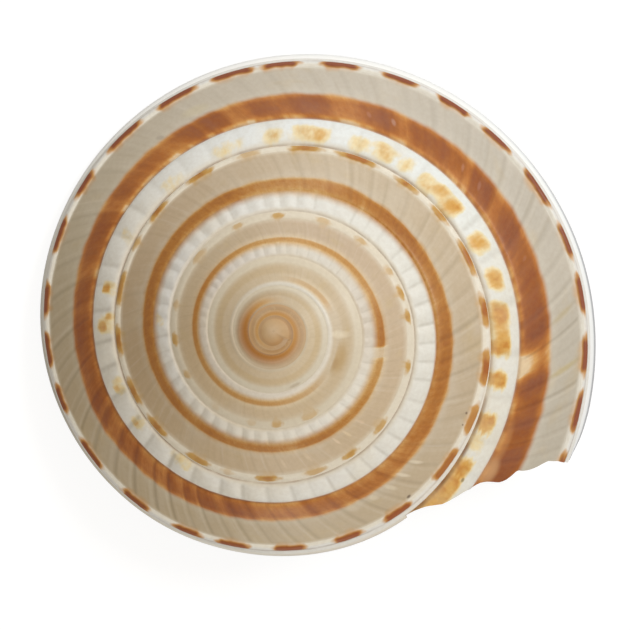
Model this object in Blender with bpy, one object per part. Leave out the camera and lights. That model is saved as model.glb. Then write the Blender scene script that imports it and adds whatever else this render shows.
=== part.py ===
"""A sundial shell: the low, flat-sided cone of a sea snail, grown as one piece.

The tube winds clockwise as seen from the tip, and each whorl leans on the one before. Lengths are in
millimetres until the mesh is made, and angles are in degrees. The growth angle rises towards the lip
and is 0 under the +X side. The shell is worked out with its winding axis upright and its tip at the
origin. It is then leaned over until it stands on its base.
"""

import math
from typing import NamedTuple

import bmesh
import bpy
from mathutils import Matrix, Vector

MM = 0.001

# Growth of the seam, the spiral on which the next whorl sits
SEAM_RADIUS = 24.42  # at growth angle 0
GROWTH_RATE = 0.0615  # natural logarithm of the radius, per radian
GROWTH_SLOWING = 0.00033  # per radian squared
PINCH = 0.034  # share of its radius that the shell lost where growth once faltered
PINCH_START = -310.0
PINCH_END = -250.0
RECOVERY = 0.0135  # share that it then won back
RECOVERY_START = -225.0
RECOVERY_END = -170.0
SLACKENING = 0.008  # share lost again near the lip
SLACKENING_START = -20.0
SLACKENING_END = 20.0
SPIRE_SLOPE = 0.88  # depth gained per millimetre of radius, away from the tip
DOME_RADIUS = 5.3  # the rounded tip turns into the cone over this radius

# Rows of points. A row is one growth line, and its seam end runs ahead of its keel end.
ROW_STEP = 6.0
WHORL_ROWS = 60
LEAN_ROWS = 5
LEAN = LEAN_ROWS * ROW_STEP
LEAN_POWER = 1.3
SHARED_GAP = WHORL_ROWS - LEAN_ROWS  # rows between one point as a seam and as a new whorl's edge
LIP_ANGLE = 22.0
LIP_REACH = 3.0  # how much further the lip runs at the keel
LIP_REACH_ROWS = 2
WHORLS = 5.5
LAST_ROW = round(WHORLS * WHORL_ROWS)
FULL_DETAIL_FROM = LAST_ROW - 2 * WHORL_ROWS
SOME_DETAIL_FROM = LAST_ROW - 4 * WHORL_ROWS
UMBILICUS_FROM = LAST_ROW - round(2.8 * WHORL_ROWS)

# Base and umbilicus. Growth lines on the base bow back a little and then run forward.
BASE_BOW = -4.0
BASE_LEAD = 6.0

# Ribs across the cords, one to every two rows, as a share of the whorl's radius
BEAD = 0.004
CRENULATION = 0.011

# Wall of the tube, as a share of the whorl's radius
WALL = 0.036
CALLUS = 0.012  # the glaze that the animal laid on the whorl before
LIP_THICKNESS = 0.017
HOLLOW_ROWS = 2 * WHORL_ROWS
HOLLOW_STEP = 3

# Stance
LEAN_OVER = 11.4
LEAN_TOWARDS = -153.0  # growth angle of the side that the tip leans to
WORN = 0.12  # depth worn flat where the shell touches what it stands on
SHARP_EDGE = math.radians(50)


class Station(NamedTuple):
    """One point of a growth line across the upper side: its share of the way from seam to seam and
    its relief as a share of the whorl's radius. The hollow follows some of them."""

    share: float
    relief: float
    hollow: bool = False
    beaded: bool = False


class BaseStation(NamedTuple):
    """One point across the base: how far in from the seam it is and how far below, as shares of the
    whorl's radius."""

    inward: float
    drop: float
    hollow: bool = False


class WallStation(NamedTuple):
    """One point up the wall of the umbilicus: its share of the way up to the whorl before, and its
    shift inward and down from the straight line, as shares of the whorl's radius."""

    rise: float
    inward: float
    drop: float
    hollow: bool = False
    crenulated: bool = False


UPPER_SIDE = (
    Station(0.0, 0.0),
    Station(0.04, 0.011),
    Station(0.15, 0.018, hollow=True, beaded=True),
    Station(0.28, 0.006),
    Station(0.35, 0.013, hollow=True),
    Station(0.56, 0.011, hollow=True),
    Station(0.76, 0.006, hollow=True),
    Station(0.90, 0.001, hollow=True),
    Station(0.95, 0.008),
    Station(1.0, 0.0),
)
UPPER_SIDE_SOME = tuple(UPPER_SIDE[i] for i in (0, 2, 3, 4, 5, 7, 9))
UPPER_SIDE_FEW = tuple(UPPER_SIDE[i] for i in (0, 2, 3, 5, 9))
BASE = (
    BaseStation(0.0, 0.0),
    BaseStation(-0.009, 0.010),
    BaseStation(-0.016, 0.026),
    BaseStation(-0.008, 0.042),
    BaseStation(0.009, 0.046),
    BaseStation(0.022, 0.060),
    BaseStation(0.046, 0.061, hollow=True),
    BaseStation(0.14, 0.081, hollow=True),
    BaseStation(0.28, 0.104, hollow=True),
    BaseStation(0.43, 0.118, hollow=True),
    BaseStation(0.58, 0.121, hollow=True),
    BaseStation(0.665, 0.112, hollow=True),
)
WALL_SIDE = (
    WallStation(0.0, 0.0, 0.0),
    WallStation(0.0, 0.038, 0.022, crenulated=True),
    WallStation(0.10, 0.048, 0.012, hollow=True),
    WallStation(0.50, 0.036, 0.0, hollow=True),
    WallStation(1.0, 0.0, 0.0),
)


class Place(NamedTuple):
    """A point by its growth angle, its distance from the axis and its height over the tip."""

    angle: float
    radius: float
    height: float

    def vector(self):
        """The point itself."""
        turn = math.radians(self.angle)
        return Vector((self.radius * math.cos(turn), -self.radius * math.sin(turn), self.height))


def smooth_step(value):
    """0 up to 0, 1 from 1 on, and an even curve between."""
    value = min(max(value, 0.0), 1.0)
    return value * value * (3 - 2 * value)


def passed(angle, start, end):
    """0 before the start angle, 1 after the end angle, and an even curve between."""
    return smooth_step((angle - start) / (end - start))


def row_angle(row):
    """The growth angle at which a row crosses the seam above the keel."""
    return LIP_ANGLE - (LAST_ROW - row) * ROW_STEP


def seam(angle):
    """The seam above the keel at a growth angle."""
    turn = math.radians(angle)
    radius = SEAM_RADIUS * math.exp(GROWTH_RATE * turn - GROWTH_SLOWING * turn * turn)
    radius *= 1 + PINCH * (1 - passed(angle, PINCH_START, PINCH_END))
    radius *= 1 - RECOVERY * (1 - passed(angle, RECOVERY_START, RECOVERY_END))
    radius *= 1 - SLACKENING * passed(angle, SLACKENING_START, SLACKENING_END)
    depth = SPIRE_SLOPE * (radius - DOME_RADIUS * (1 - math.exp(-radius / DOME_RADIUS)))
    return Place(angle, radius, -depth)


def lip_reach(row, nearness):
    """How far past its growth line the lip runs, where nearness is 1 at the keel and 0 at the seam
    or the umbilicus."""
    return LIP_REACH * smooth_step(1 - (LAST_ROW - row) / LIP_REACH_ROWS) * smooth_step(nearness)


def upper_place(row, station):
    """A station's place on the upper side of the whorl."""
    angle = row_angle(row) + LEAN * (1 - station.share) ** LEAN_POWER
    angle += lip_reach(row, station.share)
    inner = seam(angle - 360)
    outer = seam(angle)
    across = Vector((outer.radius - inner.radius, outer.height - inner.height))
    normal = Vector((-across.y, across.x)).normalized()
    relief = station.relief
    if station.beaded:
        relief += BEAD if row % 2 else -BEAD
    offset = across * station.share + normal * relief * outer.radius
    return Place(angle, inner.radius + offset.x, inner.height + offset.y)


def base_lead(station):
    """How far ahead of the keel a growth line is at a station of the base."""
    share = max(station.inward, 0.0) / BASE[-1].inward
    return BASE_BOW * math.sin(math.pi * share) + BASE_LEAD * share


def base_place(row, station):
    """A station's place on the base of the whorl."""
    reach = lip_reach(row, 1 - station.inward / BASE[-1].inward)
    edge = seam(row_angle(row) + base_lead(station) + reach)
    height = edge.height - station.drop * edge.radius
    return Place(edge.angle, edge.radius * (1 - station.inward), height)


def wall_place(row, station):
    """A station's place on the wall of the umbilicus."""
    angle = row_angle(row) + BASE_LEAD + LEAN * station.rise
    outer = seam(angle)
    inner = seam(angle - 360)
    foot = BASE[-1]
    low = Vector((outer.radius * (1 - foot.inward), outer.height - foot.drop * outer.radius))
    high = Vector((inner.radius * (1 - foot.inward), inner.height - foot.drop * inner.radius))
    inward = station.inward
    if station.crenulated:
        inward += CRENULATION if row % 2 else -CRENULATION
    place = low.lerp(high, station.rise) - Vector((inward, station.drop)) * outer.radius
    return Place(angle, place.x, place.y)


def outline(row):
    """The whole growth line at a row, round the tube and back: a list of (place, hollow, thickness).

    It runs out over the upper side, in along the base, up the wall of the umbilicus, and back out
    along the base of the whorl before.
    """
    before = row - SHARED_GAP
    around = [(upper_place(row, s), s.hollow, WALL) for s in UPPER_SIDE]
    around += [(base_place(row, s), s.hollow, WALL) for s in BASE[1:]]
    around += [(wall_place(row, s), s.hollow, WALL) for s in WALL_SIDE[1:]]
    around += [(base_place(before, s), s.hollow, CALLUS) for s in reversed(BASE[1:-1])]
    return around


def hollow_ring(row, lip=False):
    """The hollow's section at a row: a list of (index on the outline, place)."""
    around = outline(row)
    followed = [i for i, (_, hollow, _) in enumerate(around) if hollow]
    radius = seam(row_angle(row)).radius
    ring = []
    for position, index in enumerate(followed):
        place, _, thickness = around[index]
        before = around[followed[position - 1]][0]
        after = around[followed[(position + 1) % len(followed)]][0]
        along = Vector((after.radius - before.radius, after.height - before.height))
        inward = Vector((along.y, -along.x)).normalized()
        if lip:
            thickness = min(thickness, LIP_THICKNESS)
        shift = inward * thickness * radius
        ring.append((index, Place(place.angle, place.radius + shift.x, place.height + shift.y)))
    return ring


class Surface:
    """The shell's skin while it is being sewn together, row by row."""

    def __init__(self):
        self.mesh = bmesh.new()

    def point(self, place):
        """A new vertex at a place."""
        return self.mesh.verts.new(place.vector())

    def sew(self, first, second):
        """Joins two rows of (share, vertex) pairs, whose shares rise, with quads and triangles."""
        i = j = 0
        while i + 1 < len(first) or j + 1 < len(second):
            next_first = first[i + 1][0] if i + 1 < len(first) else math.inf
            next_second = second[j + 1][0] if j + 1 < len(second) else math.inf
            corners = [first[i][1]]
            if next_first <= next_second:
                i += 1
                corners.append(first[i][1])
            corners.append(second[j][1])
            if next_second <= next_first:
                j += 1
                corners.insert(-1, second[j][1])
            distinct = list(dict.fromkeys(corners))
            if len(distinct) > 2:
                self.mesh.faces.new(distinct)

    def close(self, loop, centre):
        """Closes a loop of vertices with a fan."""
        tip = self.mesh.verts.new(centre)
        for k, vertex in enumerate(loop):
            self.mesh.faces.new((vertex, loop[(k + 1) % len(loop)], tip))

    def dome(self, loop, centre, roundness):
        """Closes a loop with a ring half-way in, raised towards the centre's height, and a fan."""
        ring = []
        for vertex in loop:
            half = vertex.co.lerp(centre, 0.5)
            half.z += roundness * (centre.z - half.z)
            ring.append(self.mesh.verts.new(half))
        for k in range(len(loop)):
            following = (k + 1) % len(loop)
            self.mesh.faces.new((loop[k], loop[following], ring[following], ring[k]))
        self.close(ring, centre)


def upper_stations(row):
    """The stations of the upper side that a row has: fewer towards the tip."""
    if row >= FULL_DETAIL_FROM:
        return UPPER_SIDE
    return UPPER_SIDE_SOME if row >= SOME_DETAIL_FROM else UPPER_SIDE_FEW


def sew_upper_side(skin):
    """The upper side of every whorl and the tip. Returns the seam's vertices and the last row's."""
    seam_points = [skin.point(upper_place(row, UPPER_SIDE[-1])) for row in range(LAST_ROW + 1)]
    inner_points = [skin.point(upper_place(row, UPPER_SIDE[0])) for row in range(SHARED_GAP)]
    rows = []
    for row in range(LAST_ROW + 1):
        stations = upper_stations(row)
        inner = inner_points[row] if row < SHARED_GAP else seam_points[row - SHARED_GAP]
        middle = [skin.point(upper_place(row, station)) for station in stations[1:-1]]
        shares = [station.share for station in stations]
        rows.append(list(zip(shares, [inner, *middle, seam_points[row]])))
    for first, second in zip(rows, rows[1:]):
        skin.sew(first, second)
    loop = inner_points + [vertex for _, vertex in rows[0][:0:-1]]
    rise = 0.25 * inner_points[0].co.xy.length
    skin.dome(loop, Vector((0, 0, inner_points[0].co.z + rise)), 0.6)
    return seam_points, [vertex for _, vertex in rows[-1]]


def sew_base(skin, seam_points):
    """The keel and base of the last whorl. Returns the first row's vertices, the last row's, and those
    at the edge of the umbilicus."""
    rows = []
    for row in range(LAST_ROW - SHARED_GAP, LAST_ROW + 1):
        rows.append([seam_points[row]] + [skin.point(base_place(row, s)) for s in BASE[1:]])
    for first, second in zip(rows, rows[1:]):
        skin.sew(list(enumerate(first)), list(enumerate(second)))
    return rows[0], rows[-1], [row[-1] for row in rows]


def sew_umbilicus(skin, last_feet):
    """The wall of the umbilicus up to its top. Returns the last row's vertices."""
    base_start = LAST_ROW - SHARED_GAP
    feet = {base_start + k: vertex for k, vertex in enumerate(last_feet)}
    for row in range(UMBILICUS_FROM, base_start):
        feet[row] = skin.point(wall_place(row, WALL_SIDE[0]))
    rows = []
    top = []
    for row in range(UMBILICUS_FROM, LAST_ROW + 1):
        if row - SHARED_GAP < UMBILICUS_FROM:
            upper = skin.point(wall_place(row, WALL_SIDE[-1]))
            top.append(upper)
        else:
            upper = feet[row - SHARED_GAP]
        middle = [skin.point(wall_place(row, station)) for station in WALL_SIDE[1:-1]]
        rows.append([feet[row], *middle, upper])
    for first, second in zip(rows, rows[1:]):
        skin.sew(list(enumerate(first)), list(enumerate(second)))
    loop = top + rows[0][:-1]
    height = max(vertex.co.z for vertex in loop)
    skin.close(loop, Vector((0, 0, height)))
    return rows[-1]


def sew_hollow(skin, rim):
    """The lip's edge and the hollow behind it. The rim is the outline's vertices at the last row."""
    around = list(enumerate(rim)) + [(len(rim), rim[0])]
    previous = None
    for row in range(LAST_ROW, LAST_ROW - HOLLOW_ROWS - 1, -HOLLOW_STEP):
        ring = [(i, skin.point(place)) for i, place in hollow_ring(row, lip=row == LAST_ROW)]
        if previous is None:
            first = ring[0][0]
            turned = around[first:-1] + [(len(rim) + i, v) for i, v in around[: first + 1]]
            skin.sew(turned, ring + [(len(rim) + first, ring[0][1])])
        else:
            skin.sew(previous + [(len(rim), previous[0][1])], ring + [(len(rim), ring[0][1])])
        previous = ring
    loop = [vertex for _, vertex in previous]
    centre = sum((vertex.co for vertex in loop), Vector()) / len(loop)
    skin.close(loop, centre)


def stand(mesh):
    """Leans the shell over until it stands on its base, wears its resting points flat, and puts the
    middle of its footprint at the origin."""
    towards = math.radians(-LEAN_TOWARDS)
    axis = Vector((-math.sin(towards), math.cos(towards), 0))
    bmesh.ops.transform(mesh, matrix=Matrix.Rotation(math.radians(LEAN_OVER), 4, axis), verts=mesh.verts)
    low = [min(vertex.co[k] for vertex in mesh.verts) for k in range(3)]
    high = [max(vertex.co[k] for vertex in mesh.verts) for k in range(3)]
    shift = Vector((-(low[0] + high[0]) / 2, -(low[1] + high[1]) / 2, -low[2] - WORN))
    for vertex in mesh.verts:
        vertex.co += shift
        vertex.co.z = max(vertex.co.z, 0.0)
        vertex.co *= MM


def porcelain():
    """The shell's finish: smooth, hard and cream to tan."""
    material = bpy.data.materials.new("shell")
    material.use_nodes = True
    shader = material.node_tree.nodes["Principled BSDF"]
    shader.inputs["Base Color"].default_value = (0.60, 0.47, 0.32, 1.0)
    shader.inputs["Roughness"].default_value = 0.35
    shader.inputs["Metallic"].default_value = 0.0
    return material


def build_shell():
    """The one object: the whole shell as a closed solid."""
    skin = Surface()
    seam_points, upper_rim = sew_upper_side(skin)
    base_start, base_rim, feet = sew_base(skin, seam_points)
    wall_rim = sew_umbilicus(skin, feet)
    rim = upper_rim + base_rim[1:] + wall_rim[1:] + base_start[-2:0:-1]
    sew_hollow(skin, rim)
    stand(skin.mesh)
    bmesh.ops.recalc_face_normals(skin.mesh, faces=skin.mesh.faces)
    data = bpy.data.meshes.new("shell")
    skin.mesh.to_mesh(data)
    skin.mesh.free()
    data.shade_smooth()
    data.set_sharp_from_angle(angle=SHARP_EDGE)
    shell = bpy.data.objects.new("shell", data)
    shell.data.materials.append(porcelain())
    bpy.context.scene.collection.objects.link(shell)
    return shell


for leftover in list(bpy.data.objects):
    bpy.data.objects.remove(leftover)
build_shell()
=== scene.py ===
"""A sundial shell: its ribbed and banded skin, its glaze and its plain studio stand.

The shell is sewn as one closed skin. Its tube winds clockwise as seen from the tip. Lengths are in
millimetres until the skin is placed, angles are in degrees, and the growth angle rises towards the
lip and is 0 under the +X side.
"""

import logging
import math
from dataclasses import dataclass, field
from enum import Enum
from typing import Sequence

import bmesh
import bpy
import numpy as np
from mathutils import Matrix, Vector


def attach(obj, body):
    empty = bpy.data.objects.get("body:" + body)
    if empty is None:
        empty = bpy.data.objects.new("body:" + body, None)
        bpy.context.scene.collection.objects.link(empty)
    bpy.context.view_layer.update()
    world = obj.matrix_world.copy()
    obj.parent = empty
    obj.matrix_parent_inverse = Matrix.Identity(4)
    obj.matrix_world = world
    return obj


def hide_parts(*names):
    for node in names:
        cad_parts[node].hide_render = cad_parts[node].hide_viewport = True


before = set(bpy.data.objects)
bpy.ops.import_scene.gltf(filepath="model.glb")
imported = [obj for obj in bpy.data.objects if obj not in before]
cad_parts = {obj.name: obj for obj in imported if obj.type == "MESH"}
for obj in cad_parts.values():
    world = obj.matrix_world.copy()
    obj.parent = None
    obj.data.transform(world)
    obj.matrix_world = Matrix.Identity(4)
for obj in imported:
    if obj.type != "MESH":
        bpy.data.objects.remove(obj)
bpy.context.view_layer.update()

MM = 0.001
WHITE = (1.0, 1.0, 1.0, 1.0)
TURN = 360.0
UNEVEN_VALUES = 1024
LOG = logging.getLogger("sundial_shell")
Array = np.ndarray
Knots = Sequence[tuple[float, float]]
Pair = tuple[Array, Array]
Span = tuple[float, float]
Tree = bpy.types.NodeTree
Socket = bpy.types.NodeSocket


def add_to_scene(name: str, data: bpy.types.ID) -> bpy.types.Object:
    """Makes an object and puts it in the scene.

    Args:
        name: its name.
        data: its mesh, lamp or camera.

    Returns:
        The object.
    """
    thing = bpy.data.objects.new(name, data)
    bpy.context.scene.collection.objects.link(thing)
    return thing


class Zone(Enum):
    """The parts of the skin that have a finish of their own."""

    UPPER_SIDE = 0
    BASE = 1
    UMBILICUS = 2
    HOLLOW = 3
    LIP = 4


MARKS = (
    "growth", "band", "line", "bead", "deep", "stop", "bold", "dash", "ink", "tone", "blotch",
)


def listed(kind: type, *rows: tuple) -> tuple:
    """Turns rows of numbers into things of one kind."""
    return tuple(kind(*row) for row in rows)


def smooth_step(value: Array | float) -> Array:
    """Gives 0 up to 0, 1 from 1 on, and an even curve between."""
    value = np.clip(value, 0.0, 1.0)
    return value * value * (3 - 2 * value)


def passed(angle: Array, start: float, end: float) -> Array:
    """Gives 0 before the start angle, 1 after the end angle, and an even curve between."""
    return smooth_step((angle - start) / (end - start))


def straight(at: Array, knots: Knots) -> Array:
    """Reads a line of straight stretches through (place, value) pairs."""
    table = np.array(knots, dtype=float)
    return np.interp(at, table[:, 0], table[:, 1])


def curved(at: Array, knots: Knots) -> Array:
    """Reads a smooth line that has no bumps of its own between its knots.

    Args:
        at: where to read it.
        knots: the (place, value) pairs it runs through.

    Returns:
        The values there.
    """
    table = np.array(knots, dtype=float)
    x, y = table[:, 0], table[:, 1]
    step = np.diff(x)
    slope = np.diff(y) / step
    tangent = np.zeros(len(x))
    tangent[0], tangent[-1] = slope[0], slope[-1]
    for k in range(1, len(x) - 1):
        if slope[k - 1] * slope[k] > 0:
            ahead, behind = 2 * step[k] + step[k - 1], step[k] + 2 * step[k - 1]
            tangent[k] = (ahead + behind) / (ahead / slope[k - 1] + behind / slope[k])
    at = np.clip(at, x[0], x[-1])
    k = np.clip(np.searchsorted(x, at, side="right") - 1, 0, len(x) - 2)
    t = (at - x[k]) / step[k]
    rise = y[k + 1] - y[k]
    bend = t * (1 - t)
    return (
        y[k]
        + rise * t * t * (3 - 2 * t)
        + step[k] * bend * ((1 - t) * tangent[k] - t * tangent[k + 1])
    )


def uneven(at: Array, spacing: float, seed: int) -> Array:
    """Gives smooth random values from -1 to 1 along a line.

    Args:
        at: where to read them.
        spacing: how far apart the random values are.
        seed: picks the set of values.

    Returns:
        The values there.
    """
    values = np.random.default_rng(seed).uniform(-1.0, 1.0, UNEVEN_VALUES)
    steps = np.asarray(at) / spacing
    whole = np.floor(steps).astype(int)
    share = smooth_step(steps - whole)
    first, second = values[whole % UNEVEN_VALUES], values[(whole + 1) % UNEVEN_VALUES]
    return first * (1 - share) + second * share


def softened(ring: Array) -> Array:
    """Evens out values round a ring, each a little with its neighbours."""
    return (np.roll(ring, 1) + 2 * ring + np.roll(ring, -1)) / 4


def closed(ring: Array) -> Array:
    """Repeats the first of a ring of values at its end."""
    return np.append(ring, ring[0])


def polar(points: Array) -> tuple[Array, Array, Array]:
    """Turns points into growth angles, distances from the winding axis and heights."""
    angle = np.degrees(np.arctan2(-points[..., 1], points[..., 0]))
    return angle, np.hypot(points[..., 0], points[..., 1]), points[..., 2]


@dataclass(frozen=True)
class Spiral:
    """The seam above the keel, on which the next whorl sits."""

    radius_at_zero: float = 24.42
    rate: float = 0.0615
    slowing: float = 0.00033
    pinch: float = 0.034
    pinch_span: Span = (-310.0, -250.0)
    recovery: float = 0.0135
    recovery_span: Span = (-225.0, -170.0)
    slackening: float = 0.008
    slackening_span: Span = (-20.0, 20.0)
    slope: float = 0.88
    dome_radius: float = 5.3

    def radius(self, angle: Array) -> Array:
        """Finds how far out the seam is.

        Args:
            angle: the growth angle.

        Returns:
            Its distance from the winding axis.
        """
        turn = np.radians(angle)
        radius = self.radius_at_zero * np.exp(self.rate * turn - self.slowing * turn * turn)
        radius = radius * (1 + self.pinch * (1 - passed(angle, *self.pinch_span)))
        radius = radius * (1 - self.recovery * (1 - passed(angle, *self.recovery_span)))
        return radius * (1 - self.slackening * passed(angle, *self.slackening_span))

    def height(self, radius: Array) -> Array:
        """Gives the seam's height over the tip, which is below 0, at a radius."""
        rounding = self.dome_radius * (1 - np.exp(-radius / self.dome_radius))
        return -self.slope * (radius - rounding)


@dataclass(frozen=True)
class Rows:
    """The growth lines along which the skin is sewn. The last one is at the lip."""

    step: float = 1.25
    lip_angle: float = 22.0
    whorls: float = 6.0
    seam_lead: int = 28

    @property
    def in_whorl(self) -> int:
        """How many rows a whorl has."""
        return round(TURN / self.step)

    @property
    def last(self) -> int:
        """The row at the lip."""
        return round(self.whorls * self.in_whorl)

    @property
    def shared_gap(self) -> int:
        """Rows between a point as one whorl's edge and the same point as the next one's."""
        return self.in_whorl - self.seam_lead

    def angle(self, row: Array) -> Array:
        """Gives the growth angle at which a row crosses the seam."""
        return self.lip_angle - (self.last - np.asarray(row)) * self.step


@dataclass
class Skin:
    """The skin while it is being sewn. A corner is a point as one zone knows it, with that zone's
    marks; corners of different zones can be the same point."""

    points: list[Array] = field(default_factory=list)
    marks: dict[str, list[Array]] = field(default_factory=lambda: {name: [] for name in MARKS})
    same: dict[int, int] = field(default_factory=dict)
    faces: list[tuple[int, ...]] = field(default_factory=list)
    zones: list[int] = field(default_factory=list)
    count: int = 0

    def add(self, angle: Array, radius: Array, height: Array, **marks: Array) -> Array:
        """Adds corners.

        Args:
            angle: their growth angles, as an array of any shape.
            radius: their distances from the winding axis.
            height: their heights over the tip.
            **marks: what they know of their place, by name. A mark left out is 0.

        Returns:
            Their numbers, in an array of the same shape.
        """
        angle, radius, height = np.broadcast_arrays(angle, radius, height)
        turn = np.radians(angle)
        place = np.stack([radius * np.cos(turn), -radius * np.sin(turn), height], axis=-1)
        self.points.append(place.reshape(-1, 3))
        for name in MARKS:
            value = np.broadcast_to(marks.get(name, 0.0), angle.shape)
            self.marks[name].append(value.reshape(-1).astype(float))
        ids = np.arange(self.count, self.count + angle.size).reshape(angle.shape)
        self.count += angle.size
        return ids

    def join(self, ids: Array, others: Array) -> None:
        """Makes corners the same points as others that are there already."""
        self.same.update(zip(np.ravel(ids).tolist(), np.ravel(others).tolist()))

    def sheet(self, ids: Array, zone: Zone) -> None:
        """Fills a grid of corners with four-sided faces.

        Args:
            ids: the corners, row by row.
            zone: what the faces belong to.
        """
        quads = np.stack([ids[:-1, :-1], ids[1:, :-1], ids[1:, 1:], ids[:-1, 1:]], axis=-1)
        quads = quads.reshape(-1, 4).tolist()
        self.faces.extend(map(tuple, quads))
        self.zones.extend([zone.value] * len(quads))

    def sew(self, first: list[tuple], second: list[tuple], zone: Zone) -> None:
        """Joins two rows whose corners lie at different shares of the way along.

        Args:
            first: the (share, corner) pairs of one row, with rising shares.
            second: the pairs of the other row.
            zone: what the faces belong to.
        """
        i = j = 0
        while i + 1 < len(first) or j + 1 < len(second):
            next_first = first[i + 1][0] if i + 1 < len(first) else math.inf
            next_second = second[j + 1][0] if j + 1 < len(second) else math.inf
            corners = [first[i][1]]
            if next_first <= next_second:
                i += 1
                corners.append(first[i][1])
            corners.append(second[j][1])
            if next_second <= next_first:
                j += 1
                corners.insert(-1, second[j][1])
            distinct = tuple(dict.fromkeys(int(corner) for corner in corners))
            if len(distinct) > 2:
                self.faces.append(distinct)
                self.zones.append(zone.value)

    def belt(self, ring: Array, other: Array, zone: Zone) -> None:
        """Joins two rings that have the same number of corners."""
        self.sheet(np.stack([closed(ring), closed(other)]), zone)

    def fan(self, loop: Array, point: Array, zone: Zone, **marks: float) -> None:
        """Closes a loop of corners round one more.

        Args:
            loop: the loop.
            point: where the one more goes.
            zone: what the faces belong to.
            **marks: what the one more knows of its place.
        """
        tip = int(self.add(*polar(np.asarray(point)), **marks))
        for here, there in zip(loop, np.roll(loop, -1)):
            self.faces.append((int(here), int(there), tip))
            self.zones.append(zone.value)

    def owners(self, ids: Array) -> Array:
        """Gives the corners that hold the points of some corners."""
        return np.array([self.same.get(int(k), int(k)) for k in np.ravel(ids)])

    def place_of(self, ids: Array) -> Array:
        """Gives the points of some corners."""
        return np.concatenate(self.points)[self.owners(ids)]

    def mesh(self, name: str) -> bpy.types.Mesh:
        """Makes the mesh, with its marks as attributes of its face corners.

        Args:
            name: the mesh's name.

        Returns:
            The mesh, all its faces turned outwards.
        """
        owner = np.arange(self.count)
        for corner, other in self.same.items():
            owner[corner] = other
        owner = owner[owner]
        used = np.unique(owner)
        slot = np.zeros(self.count, dtype=int)
        slot[used] = np.arange(len(used))
        corners = np.concatenate([np.array(face) for face in self.faces])
        ends = np.cumsum([len(face) for face in self.faces])
        vertices = slot[owner[corners]]
        faces = [part.tolist() for part in np.split(vertices, ends[:-1])]
        mesh = bpy.data.meshes.new(name)
        mesh.from_pydata(np.concatenate(self.points)[used].tolist(), [], faces)
        for mark in MARKS:
            values = np.concatenate(self.marks[mark])[corners]
            attribute = mesh.attributes.new(mark, "FLOAT", "CORNER")
            attribute.data.foreach_set("value", values.astype(np.float32))
        mesh.polygons.foreach_set("material_index", np.array(self.zones, dtype=np.int32))
        sheet = bmesh.new()
        sheet.from_mesh(mesh)
        bmesh.ops.recalc_face_normals(sheet, faces=sheet.faces)
        sheet.to_mesh(mesh)
        sheet.free()
        return mesh


@dataclass(frozen=True)
class Dash:
    """One brown dash on the cord above the keel."""

    centre: float
    half: float
    ink: float = 1.0


@dataclass(frozen=True)
class Blotch:
    """A soft yellow or orange spot on the white cord."""

    centre: float
    across: float
    half_length: float
    half_width: float
    strength: float


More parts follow.
